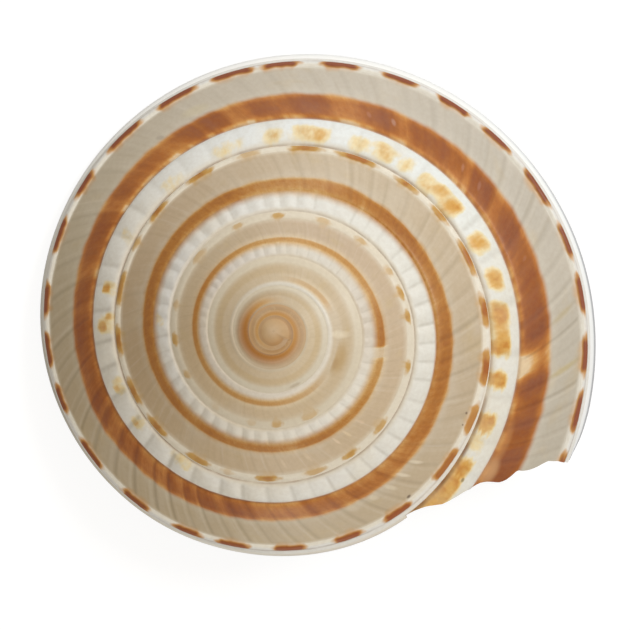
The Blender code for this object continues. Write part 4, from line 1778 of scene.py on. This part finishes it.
@dataclass(frozen=True)
class BandedGlaze(Glaze):
    """The finish of the upper side: white cord, brown band, beige band and dashed cord. Its
    colours change along the growth, apart from the browns, which change with their depth."""

    name: str = "banded glaze"
    cloud_size: float = 0.0042
    grain_size: float = 0.00035
    line_spacing: float = 3.4
    start: float = -2300.0
    end: float = 60.0
    # The white along the growth is the cord's own colour, with a painted sheen that makes it bluer
    # round -85 and -40.
    white: Shades = (
        (-2264, 184, 156, 122), (-2244, 202, 174, 140), (-2215, 196, 164, 126),
        (-2185, 190, 154, 110), (-2150, 182, 140, 92), (-2060, 172, 130, 82), (-1740, 163, 126, 90),
        (-1630, 159, 112, 70), (-1570, 165, 137, 112), (-1510, 188, 168, 140),
        (-1450, 194, 177, 150), (-1390, 206, 192, 168), (-1270, 202, 186, 162),
        (-1150, 219, 214, 203), (-1020, 228, 220, 207), (-910, 220, 210, 197),
        (-850, 219, 212, 204), (-780, 218, 213, 203), (-722, 212, 202, 188), (-680, 232, 228, 219),
        (-590, 228, 223, 214), (-535, 231, 231, 230), (-500, 229, 228, 225), (-400, 228, 227, 220),
        (-250, 232, 230, 224), (-140, 234, 233, 228), (-85, 236, 241, 243), (-40, 234, 238, 236),
        (0, 232, 231, 224), (60, 230, 229, 222),
    )
    brown_start: float = -0.2
    brown_end: float = 1.4
    late_browns: Shades = (
        (-0.1, 228, 204, 168), (0.2, 214, 163, 98), (0.45, 195, 131, 64), (0.7, 175, 106, 45),
        (0.88, 159, 91, 31), (1.05, 147, 79, 27), (1.3, 126, 65, 31),
    )
    early_browns: Shades = (
        (-0.1, 228, 208, 172), (0.2, 208, 172, 119), (0.45, 193, 146, 84), (0.7, 178, 120, 52),
        (0.88, 167, 107, 43), (1.05, 153, 92, 37), (1.3, 132, 73, 32),
    )
    beige: Shades = (
        (-2300, 186, 148, 104), (-2100, 176, 136, 90), (-1880, 172, 138, 98),
        (-1740, 189, 158, 125), (-1600, 170, 145, 116), (-1510, 193, 174, 144),
        (-1450, 199, 178, 142), (-1390, 206, 185, 151), (-1300, 200, 177, 141),
        (-1100, 197, 178, 148), (-1037, 203, 183, 152), (-920, 206, 183, 149),
        (-850, 196, 177, 149), (-780, 195, 174, 149), (-700, 202, 181, 153), (-600, 200, 178, 146),
        (-550, 191, 167, 134), (-500, 195, 174, 146), (-430, 200, 184, 160), (-340, 194, 176, 150),
        (-250, 193, 176, 147), (-200, 190, 172, 142), (-160, 194, 181, 156), (-110, 200, 191, 176),
        (-40, 196, 189, 177), (60, 188, 180, 164),
    )
    cream: Shades = (
        (-2300, 190, 154, 110), (-1980, 190, 152, 108), (-1800, 194, 164, 128),
        (-1680, 200, 182, 156), (-1600, 204, 192, 170), (-1500, 214, 205, 186),
        (-1000, 216, 205, 184), (-500, 232, 225, 210), (-340, 236, 229, 214), (-250, 236, 232, 221),
        (60, 236, 233, 224),
    )
    ink: Shades = (
        (-2300, 190, 140, 84), (-900, 184, 138, 76), (-500, 171, 113, 50), (-360, 168, 98, 40),
        (-300, 150, 78, 32), (-230, 136, 74, 32), (-140, 134, 70, 40), (60, 142, 76, 52),
    )
    still_specks: tuple[Speck, ...] = listed(
        Speck,
        (-307, 2.93, 0.8, 0.06, 0.75, (70, 50, 38)), (-336, 2.9, 0.45, 0.05, 0.7, (84, 62, 46)),
        (-332.5, 2.94, 0.35, 0.04, 0.6, (84, 62, 46)), (40, 0.46, 0.75, 0.06, 0.7, (104, 96, 74)),
        (-1078.5, 1.7, 4.2, 1.1, 0.5, (238, 228, 206)),
        (-1058, 2.1, 16, 0.62, 0.62, (182, 148, 92)), (-1052, 1.9, 8, 0.4, 0.3, (160, 120, 66)),
        (-1371, 3.9, 7, 0.5, 0.35, (150, 120, 88)), (27, 1.12, 6, 0.2, 0.36, (206, 150, 96)),
        (34.5, 1.14, 4, 0.26, 0.6, (216, 172, 126)),
    )
    leaning_specks: tuple[Speck, ...] = listed(
        Speck,
        (-71.5, 1.55, 0.7, 0.14, 0.3, (210, 180, 168)),
        (-78, 1.5, 0.7, 0.12, 0.22, (196, 150, 132)),
        (-45.8, 1.52, 0.6, 0.16, 0.28, (186, 140, 124)),
        (-51.5, 1.55, 0.5, 0.14, 0.25, (206, 160, 140)),
        (-25.5, 1.6, 0.6, 0.1, 0.22, (190, 136, 110)),
        (-322.5, 2.2, 0.8, 0.24, 0.6, (234, 222, 200)),
        (-317, 2.16, 0.8, 0.26, 0.6, (234, 222, 200)),
        (-311.4, 2.22, 1, 0.24, 0.5, (228, 216, 192)),
        (-305.6, 2.16, 1.4, 0.16, 0.45, (228, 216, 192)),
        (-298.5, 2.16, 1.6, 0.16, 0.35, (224, 212, 190)),
        (-668.5, 2.3, 0.9, 0.25, 0.4, (236, 214, 176)),
        (-662.5, 2.3, 0.8, 0.25, 0.5, (236, 214, 186)),
        (-677, 2.3, 0.9, 0.22, 0.35, (232, 206, 176)), (-647, 2.4, 1.2, 0.3, 0.35, (226, 206, 176)),
        (-635.5, 2.5, 0.8, 0.3, 0.35, (226, 206, 176)), (-118, 2.3, 4, 0.22, 0.35, (214, 202, 164)),
        (-129.5, 2.12, 1, 0.12, 0.35, (150, 140, 128)), (3.5, 2.45, 0.9, 0.5, 0.4, (204, 184, 122)),
        (-8, 2.4, 0.9, 0.45, 0.28, (196, 176, 120)),
    )

    def paint(self, wire: Surface) -> tuple[Value, Value, Value]:
        """Paints the upper side.

        Args:
            wire: the surface's wiring.

        Returns:
            The colour, the fine relief and how dull the surface is.
        """
        growth, band, line, tone = wire.marks("growth", "band", "line", "tone")
        late = growth.between(-400, -250)
        calm = growth.between(-1400, -450, 0.12, 1)
        blur = growth.between(-1200, -330, 0.44, 0.1)
        blur += growth.between(-1560, -1420, 0.35, 0)
        wobble = (wire.noise(line * 0.16, 0, 5, rough=0.4) - 0.5) * (calm * 0.2)
        wide = growth.between(-430, -330, 0.48, 0.12)
        wide += growth.between(-1060, -800, 0.14, 0)
        there = tone.between(0, growth.between(-1000, -800, 0.6, 0.25))
        brown = there * (1 - self.edge(band + wobble, 2, blur))
        painted = wire.mix(brown, self.beige_band(wire, calm), self.brown_band(wire, late, calm))
        after_white = band.between(1 - wide, blur * 0.5 + 1)
        colour = wire.mix(after_white, self.white_cord(wire), painted)
        colour = self.dashed_cord(wire, colour, blur)
        colour, groove = self.grooves(wire, colour, brown, late)
        for along, specks in ((growth, self.still_specks), (line, self.leaning_specks)):
            for speck in specks:
                colour = speck.lay(wire, along, colour)
        colour = wire.mix(wire.grain.between(0.3, 0.7, 0, 0.08), colour, (150, 122, 88))
        height = wire.growth_lines(self.line_spacing) * band.between(0.8, 1.2, 0.4, 1)
        height = (height - groove * 0.8 + wire.grain * 0.15) * calm
        return colour, height, wire.cloud

    @staticmethod
    def edge(place: Value, at: float, blur: Value) -> Value:
        """Gives 0 before a place and 1 after it, over a soft width."""
        return place.between(at - blur, blur + at)

    def white_cord(self, wire: Surface) -> Value:
        """Paints the white cord, with its yellow and orange stains.

        Args:
            wire: the surface's wiring.

        Returns:
            The colour.
        """
        growth, band, blotch = wire.marks("growth", "band", "blotch")
        ragged = (wire.noise(growth * 0.3, band * 1.8, detail=2.5, rough=0.55) - 0.5) * 1.25
        stain = blotch + ragged * blotch.between(0, 0.3, 0.3, 1)
        # Painted shade: on the later whorls the white cord is tinted darker tan towards the inner
        # seam.
        low = band.between(0.22, 0, 0, 0.35) * growth.between(-1100, -700)
        return wire.cover(
            wire.ramp(growth, self.start, self.end, self.white),
            (stain.between(0.02, 0.52, 0, 0.8), (240, 217, 156)),
            (stain.between(0.38, 0.92), (218, 168, 86)),
            (stain.between(0.82, 1.2), (200, 134, 54)),
            (wire.cloud.between(0.42, 0.7, 0, 0.22), (228, 214, 184)),
            (low, (214, 194, 158)),
        )

    def brown_band(self, wire: Surface, late: Value, calm: Value) -> Value:
        """Paints the brown band.

        Args:
            wire: the surface's wiring.
            late: 0 on the early whorls and 1 on the last one.
            calm: how much of the fine detail the whorl shows, from 0 to 1.

        Returns:
            The colour.
        """
        line, band, growth, tone = wire.marks("line", "band", "growth", "tone")
        broad = wire.noise(line * 0.26, band * 1.3, 2, detail=3, rough=0.6)
        fine = wire.noise(line * 0.9, band * 0.6, 6, rough=0.6)
        patch = wire.noise(line * 0.55, band * 3.4, 8, detail=3, rough=0.65)
        ragged = wire.noise(line * 0.22, 0, 21, detail=1)
        streaky = growth.between(-275, -245, 0.22, 0.38)
        streaky *= growth.between(-190, -160, 1, 0.5)
        mottling = (broad - 0.5) * 0.42 + (fine - 0.5) * streaky + (patch - 0.5) * 0.4
        weakest = tone + growth.between(-1100, -900, 0.5, 0.15)
        depth = tone.between(0.35, 1.25, 0.6, 1.08).least(weakest) + mottling * calm
        edges = band.between(1.7, 2.04, 0, 0.46) + band.between(1.42, 1.04, 0, 0.2)
        depth -= edges * growth.between(-1560, -1100, 0.2, 1)
        inner = band.between(1.2, 1.02) * growth.between(-200, -140, 0.1, 0.55)
        depth -= inner * ragged.between(0.42, 0.6, 1, 0.2)
        depth -= growth.between(-1000, -250, 0.25, 0)
        # Painted shade: the brown is deepened from the top round to the lip, where the light falls
        # strongest.
        depth += growth.between(-130, 15, 0, 0.16)
        gap = tone.between(0.6, 0.24) * growth.between(-12, -4)
        depth -= gap * band.between(1.8, 1.1, 0, 0.62)
        early_brown, late_brown = (
            wire.ramp(depth, self.brown_start, self.brown_end, browns)
            for browns in (self.early_browns, self.late_browns)
        )
        purple = depth.between(0.6, 1.15) * growth.between(-160, -120)
        purple *= ragged.between(0.4, 0.62, 0.1, 0.42)
        return wire.cover(early_brown, (late, late_brown), (purple, (140, 88, 68)))

    def beige_band(self, wire: Surface, calm: Value) -> Value:
        """Paints the beige band.

        Args:
            wire: the surface's wiring.
            calm: how much of the fine detail the whorl shows, from 0 to 1.

        Returns:
            The colour.
        """
        line, band, growth = wire.marks("line", "band", "growth")
        cloud = wire.noise(line * 0.09, band * 0.9, 9, detail=3, rough=0.6)
        streak = wire.noise(line * 0.5, band * 0.35, 7, detail=3, rough=0.55)
        return wire.cover(
            wire.ramp(growth, self.start, self.end, self.beige),
            (cloud.between(0.52, 0.74, 0, 0.35), (200, 178, 134)),
            (streak.between(0.5, 0.74, 0, 0.2) * calm, (164, 146, 116)),
            (streak.between(0.48, 0.26, 0, 0.2) * calm, (226, 216, 202)),
            (wire.cloud.between(0.5, 0.72, 0, 0.22), (216, 208, 194)),
            (band.between(2.35, 2, 0, 0.18), (226, 220, 208)),
        )

    def dashed_cord(self, wire: Surface, colour: Value, blur: Value) -> Value:
        """Lays the dashed cord and the rim over a colour.

        Args:
            wire: the surface's wiring.
            colour: what is there before.
            blur: how soft the edges are.

        Returns:
            The colour after it.
        """
        band, growth, dash, ink = wire.marks("band", "growth", "dash", "ink")
        early = growth.between(-430, -300, 1, 0)
        wobble = wire.noise(growth * 0.4, band * 1.2, 4, detail=1) - 0.5
        inside = dash + wobble * early.between(0, 1, 2.6, 4.2)
        inside -= ((band - 3.5) * 2) ** 2 * 1.2
        inside -= (1 - ink) * 1.2
        place = band + wobble * 0.3
        outer = early.between(0, 1, 4.06, 5.5)
        wide = place.between(2.96 - blur * 1.5, blur * 1.5 + 3.04)
        wide *= place.between(outer - early.between(0, 1, 0.15, 0.7), outer, 1, 0)
        ends = early.between(0, 1, 4.04, 5)
        tight = place.between(3, 3.34) * place.between(ends - 0.16, ends, 1, 0)
        start, end = early.between(0, 1, -1.3, -2.2), early.between(0, 1, 0.4, 1.2)
        halo = inside.between(start, end)
        halo *= ink.between(0, 0.65)
        start, end = early.between(0, 1, -0.4, 0.4), early.between(0, 0.4, 1.2, 4)
        core = inside.between(start, end)
        core *= ink.between(0.3, 0.95)
        # Painted shade: on the last whorl, the outer part of the dashed cord and the rim are cooled
        # towards grey.
        painted_cool_shade = band.between(3.2, 3.6) * growth.between(-420, -260, 0, 0.6)
        cream = wire.mix(
            painted_cool_shade, wire.ramp(growth, self.start, self.end, self.cream), (226, 227, 228)
        )
        return wire.cover(
            colour,
            (self.edge(band, 3, blur), cream),
            (halo * wide, wire.mix(early, (204, 150, 80), (197, 156, 86))),
            (core * tight, wire.ramp(growth, self.start, self.end, self.ink)),
        )

    def grooves(
        self, wire: Surface, colour: Value, brown: Value, late: Value
    ) -> tuple[Value, Value]:
        """Paints the grooves and growth pauses: own dark lines, painted shade and painted
        highlight.

        Args:
            wire: the surface's wiring.
            colour: the colour so far.
            brown: 1 on the brown band and 0 off it.
            late: 0 on the early whorls and 1 on the last one.

        Returns:
            The colour, and how deep the grooves are.
        """
        band, growth, bead, deep = wire.marks("band", "growth", "bead", "deep")
        stop, bold = wire.marks("stop", "bold")
        # The lines at the bands' edges and along the seam are partly the shell's own dark lines and
        # partly painted shade in the grooves there.
        first = abs(band - 1).between(0, 0.08, 0.38, 0) * late
        second = abs(band - 4).between(0, 0.35, 0.4, 0) * late
        seam = band.between(0, 0.07, 0.5, 0) * growth.between(-520, -300, 0.25, 1)
        seam = seam.most(band.between(0.02, 0.11, 0.85, 0) * growth.between(6, 30))
        patchy = wire.noise(growth * 0.11, 0, 3).between(0.35, 0.6, 0.35, 1)
        patchy *= growth.between(-1100, -500)
        band_lines_and_shade = first.most(second).most(seam) * patchy
        # Painted shade: the grooves between the white cord's beads are darkened.
        across = wire.groove(bead, 0.15) * band.within(0.02, 0.25, 0.85, 1) * deep
        field_share = band.within(1.02, 1.2, 2.85, 3)
        # Each growth pause gets a dark line and, just beside it, a lighter one: partly the shell's
        # own growth-line colours, partly painted shade and highlight of the step.
        pause = wire.groove(stop, 0.17) * field_share * bold
        pale_line_and_highlight = wire.groove(stop - 0.24, 0.14) * field_share * bold
        colour = wire.cover(
            colour,
            (band_lines_and_shade, (134, 92, 58)),
            (across * growth.between(-460, -320, 0.15, 0.31), (146, 136, 116)),
            (pause * growth.between(-700, -260, 0.05, 0.34),
             wire.mix(brown, (122, 106, 78), (104, 50, 24))),
            (pale_line_and_highlight * growth.between(-700, -260, 0, 0.2),
             wire.mix(brown, (228, 220, 204), (184, 114, 62))),
        )
        return colour, band_lines_and_shade + across * 0.5 + pause * 0.6


@dataclass(frozen=True)
class BaseGlaze(Glaze):
    """The finish of the keel and the base: cream, with a dashed cord and a brown line."""

    name: str = "base glaze"
    cloud_size: float = 0.006
    # The keel's colour along the growth is its own white with painted light on it: painted shade
    # makes it darker round -195, and a painted sheen makes it brightest and bluest round -95.
    keel: Shades = (
        (-400, 226, 218, 202), (-325, 226, 216, 196), (-290, 229, 222, 210), (-250, 238, 235, 226),
        (-225, 214, 207, 193), (-195, 186, 180, 168), (-168, 222, 221, 216), (-140, 252, 253, 252),
        (-95, 254, 255, 255), (-60, 248, 250, 250), (-20, 245, 248, 250), (60, 242, 244, 247),
    )

    def paint(self, wire: Surface) -> tuple[Value, Value, Value]:
        """Paints the base.

        Args:
            wire: the surface's wiring.

        Returns:
            The colour, the fine relief and how dull the surface is.
        """
        band, line, growth, dash, bead = wire.marks("band", "line", "growth", "dash", "bead")
        lines = wire.growth_lines(2.6)
        # Painted shade: a blue-grey line along the keel's outermost edge, which turns away from the
        # light, stronger from the upper right round to the lip.
        rim = band.within(1, 1.45, 2, 2.5) * growth.between(-60, -5, 0.08, 0.72)
        cloud = wire.cloud.between(0.4, 0.7, 0, 0.5) * band.between(5.5, 7)
        inside = dash + (wire.noise(line * 0.7, band, 1) - 0.5) * 2.5
        dashes = inside.between(-0.4, 1.2) * band.within(4.1, 4.5, 5.5, 5.9)
        streaks = lines.between(0.42, 0.62, 0, 0.3) * band.between(6.2, 7.2)
        brown = band.within(9.52, 9.62, 9.72, 9.8) * 0.85
        cord = band.within(9.72, 9.8, 10.5, 10.62)
        # Painted shade in the grooves between the base cord's beads and in the slit between the
        # cord and the umbilicus.
        groove = wire.groove(bead, 0.1) * cord * 0.3
        painted_groove_shade = groove.most(band.within(10.58, 10.72, 10.84, 10.96) * 0.8)
        colour = wire.cover(
            wire.ramp(growth, -400, 60, self.keel),
            (band.between(5.6, 6.4), (226, 212, 184)),
            (rim, (138, 141, 149)),
            (cloud, (214, 192, 158)),
            (dashes, (166, 106, 62)),
            (streaks, (196, 170, 132)),
            (brown, (176, 112, 64)),
            (cord, (240, 234, 220)),
            (painted_groove_shade, (150, 92, 52)),
            (band.within(5.55, 5.75, 5.85, 6.05) * 0.35, (150, 118, 84)),
        )
        height = (lines - painted_groove_shade * 0.5) * band.between(4, 7, 0.35, 1)
        return colour, height, wire.cloud


@dataclass(frozen=True)
class UmbilicusGlaze(Glaze):
    """The finish of the umbilicus: a white toothed cord over a tan wall."""

    name: str = "umbilicus glaze"

    def paint(self, wire: Surface) -> tuple[Value, Value, Value]:
        """Paints the umbilicus.

        Args:
            wire: the surface's wiring.

        Returns:
            The colour, the fine relief and how dull the surface is.
        """
        band, bead = wire.marks("band", "bead")
        lines = wire.growth_lines(3)
        groove = wire.groove(bead, 0.16) * band.between(1.3, 1.8, 0.32, 0)
        colour = wire.cover(
            (214, 190, 150),
            (wire.cloud.between(0.35, 0.65), (198, 164, 118)),
            (lines.between(0.42, 0.62, 0, 0.4), (182, 142, 96)),
            (band.within(1.55, 1.85, 2, 2.3) * 0.65, (170, 106, 60)),
            (band.between(1.45, 1.75, 1, 0), (238, 230, 214)),
            (groove, (176, 128, 82)),
        )
        return colour, lines - groove * 0.5, wire.cloud


@dataclass(frozen=True)
class InnerGlaze(Glaze):
    """The finish of the inside: smooth, with the bands showing faintly through."""

    name: str = "inner glaze"
    cloud_size: float = 0.005

    def paint(self, wire: Surface) -> tuple[Value, Value, Value]:
        """Paints the inside.

        Args:
            wire: the surface's wiring.

        Returns:
            The colour, the fine relief and how dull the surface is.
        """
        band, growth = wire.marks("band", "growth")
        through = band.within(0.06, 0.1, 0.16, 0.2) * growth.between(-260, 20, 0.15, 0.65)
        colour = wire.cover(
            (236, 226, 206),
            (wire.cloud.between(0.35, 0.7), (216, 196, 164)),
            (through, (190, 128, 84)),
        )
        return colour, wire.growth_lines(5) * 0.4, wire.cloud


@dataclass(frozen=True)
class BrokenEdge(Glaze):
    """The finish of the lip's edge: chalky, where the shell's layers show."""

    name: str = "lip edge"
    cloud_size: float = 0.0016
    grain_size: float = 0.0002

    def paint(self, wire: Surface) -> tuple[Value, Value, Value]:
        """Paints the edge of the lip."""
        layers = wire.cloud.between(0.4, 0.65)
        return wire.mix(layers, (226, 216, 198), (196, 172, 142)), wire.grain, wire.grain


@dataclass
class Shell:
    """The whole shell as one piece."""

    spiral: Spiral = field(default_factory=Spiral)
    rows: Rows = field(default_factory=Rows)
    stance: Stance = field(default_factory=Stance)
    sharp_edge: float = 55.0

    def build(self) -> tuple[bpy.types.Object, Vector]:
        """Sews the shell, stands it up and dresses it.

        Returns:
            The shell, and where the tip of its winding axis is.
        """
        upper = UpperSide(self.spiral, self.rows, Markings(), Stops())
        base = Base(self.spiral, self.rows)
        umbilicus = Umbilicus(self.spiral, self.rows, base)
        skin = Skin()
        seam, upper_rim = upper.build(skin)
        base_start, base_rim, feet = base.build(skin, seam)
        wall_rim = umbilicus.build(skin, feet)
        corner = seam[self.rows.last - self.rows.shared_gap]
        rim = np.concatenate(
            [[corner], upper_rim, base_rim[1:], wall_rim[1:], base_start[-2:0:-1]]
        )
        Hollow(self.spiral, self.rows, upper, base, umbilicus).build(skin, rim)
        mesh = skin.mesh("shell_skin")
        tip = self.stance.settle(mesh)
        mesh.shade_smooth()
        mesh.set_sharp_from_angle(angle=math.radians(self.sharp_edge))
        self.dress(mesh)
        shell = add_to_scene("shell_skin", mesh)
        LOG.info("shell: %d points, %d faces", len(mesh.vertices), len(mesh.polygons))
        return shell, tip

    @staticmethod
    def dress(mesh: bpy.types.Mesh) -> None:
        """Gives each zone of the skin its finish.

        Args:
            mesh: the skin's mesh.
        """
        effects = Effects()
        for glaze in (BandedGlaze, BaseGlaze, UmbilicusGlaze, InnerGlaze, BrokenEdge):
            mesh.materials.append(glaze(effects).make())


@dataclass(frozen=True)
class Lamp:
    """One soft lamp: which way it stands, how strong it is and how wide it looks."""

    name: str
    towards: tuple[float, float, float]
    strength: float
    width: float


@dataclass(frozen=True)
class Studio:
    """The pale floor, the soft light and the camera. The camera's middle, its view's width and
    the rim's depth are in millimetres; its distance and the floor's size are in metres."""

    view_width: float = 51.345
    sensor: float = 36.0
    clip: Span = (0.1, 20.0)
    distance: float = 1.5
    tilt: float = 5.2
    tilt_towards: float = 5.0
    middle_right: float = 3.36
    middle_up: float = 1.43
    rim_depth: float = 17.0
    floor_size: float = 3.0
    lamps: tuple[Lamp, ...] = (
        Lamp("soft_light", (0.6, 0.38, 0.8), 1.53, 24.0),
        Lamp("far_strip", (0.05, 0.98, 0.16), 0.86, 30.0),
        Lamp("near_strip", (-0.05, -0.98, 0.16), 0.84, 30.0),
    )
    lamp_colour: tuple[float, float, float] = (0.98, 1.0, 1.02)
    sky_colour: tuple[float, ...] = (1.0, 0.9, 0.74, 1.0)
    sky_strength: float = 0.485
    floor_colour: tuple[int, int, int] = (124, 124, 124)
    floor_roughness: float = 0.9
    floor_shine: float = 0.1
    floor_glow: float = 0.88

    def build(self, stance: Stance, tip: Vector) -> bpy.types.Object:
        """Sets up the studio.

        Args:
            stance: how the shell stands.
            tip: where the tip of its winding axis is.

        Returns:
            The floor.
        """
        self.make_camera(stance, tip)
        self.make_lights()
        return self.make_floor()

    def make_camera(self, stance: Stance, tip: Vector) -> None:
        """Puts the camera over the tip, a little to one side of the winding axis.

        Args:
            stance: how the shell stands.
            tip: where the tip of its winding axis is.
        """
        tilt, side = math.radians(self.tilt), math.radians(self.tilt_towards)
        along = Vector((math.cos(side), math.sin(side), 0))
        beside = Vector((-math.sin(side), math.cos(side), 0))
        across = along * math.cos(tilt) - Vector((0, 0, math.sin(tilt)))
        back = along * math.sin(tilt) + Vector((0, 0, math.cos(tilt)))
        right = across * math.cos(side) - beside * math.sin(side)
        up = across * math.sin(side) + beside * math.cos(side)
        turn = stance.turn()
        right, up, back = turn @ right, turn @ up, turn @ back
        middle = tip + (right * self.middle_right + up * self.middle_up) * MM
        middle = middle - back * self.rim_depth * MM
        data = bpy.data.cameras.new("camera")
        data.sensor_width = self.sensor
        data.lens = self.sensor * self.distance / (self.view_width * MM)
        data.clip_start, data.clip_end = self.clip
        camera = add_to_scene("camera", data)
        matrix = Matrix((right, up, back)).transposed().to_4x4()
        matrix.translation = middle + back * self.distance
        camera.matrix_world = matrix
        bpy.context.scene.camera = camera

    def make_lights(self) -> None:
        """Lights the shell softly from its lip side, with two low strips and a warm sky."""
        for plan in self.lamps:
            data = bpy.data.lights.new(plan.name, "SUN")
            data.energy = plan.strength
            data.angle = math.radians(plan.width)
            data.color = self.lamp_colour
            lamp = add_to_scene(plan.name, data)
            lamp.rotation_euler = Vector(plan.towards).to_track_quat("Z", "Y").to_euler()
        world = bpy.data.worlds.new("sky")
        world.use_nodes = True
        wire = Wiring(world.node_tree)
        seen = self.backdrop_share(wire)
        wire.fill(
            world.node_tree.nodes["Background"],
            Color=wire.mix(seen, self.sky_colour, WHITE),
            Strength=seen.between(0.0, 1.0, self.sky_strength, 1.0),
        )
        bpy.context.scene.world = world

    @staticmethod
    def backdrop_share(wire: Wiring) -> Value:
        """Gives 1 where the backdrop is seen, straight or by reflection or through glass.

        Args:
            wire: the wiring that needs it.

        Returns:
            The share, which is 0 for all other light.
        """
        path = wire.node("ShaderNodeLightPath")
        seen, mirrored, through = (
            Value(wire, path.outputs[f"Is {way} Ray"])
            for way in ("Camera", "Glossy", "Transmission")
        )
        return seen.most(mirrored).most(through)

    def make_floor(self) -> bpy.types.Object:
        """Makes the floor, which is white where nothing shades it.

        Returns:
            The floor.
        """
        half = self.floor_size / 2
        mesh = bpy.data.meshes.new("floor")
        corners = [(-half, -half, 0), (half, -half, 0), (half, half, 0), (-half, half, 0)]
        mesh.from_pydata(corners, [], [(0, 1, 2, 3)])
        material = bpy.data.materials.new("floor")
        material.use_nodes = True
        wire = Wiring(material.node_tree)
        wire.fill(
            material.node_tree.nodes["Principled BSDF"],
            Base_Color=self.floor_colour,
            Roughness=self.floor_roughness,
            Specular_IOR_Level=self.floor_shine,
            Emission_Color=WHITE,
            Emission_Strength=self.backdrop_share(wire) * self.floor_glow,
        )
        mesh.materials.append(material)
        return add_to_scene("floor", mesh)


def main() -> None:
    """Builds the shell and its studio."""
    logging.basicConfig(level=logging.INFO, format="%(name)s: %(message)s")
    shell_plan = Shell()
    shell, tip = shell_plan.build()
    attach(shell, "root")
    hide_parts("shell")
    floor = Studio().build(shell_plan.stance, tip)
    scene = bpy.context.scene
    scene.view_settings.view_transform = "Standard"


if __name__ == "__main__":
    main()
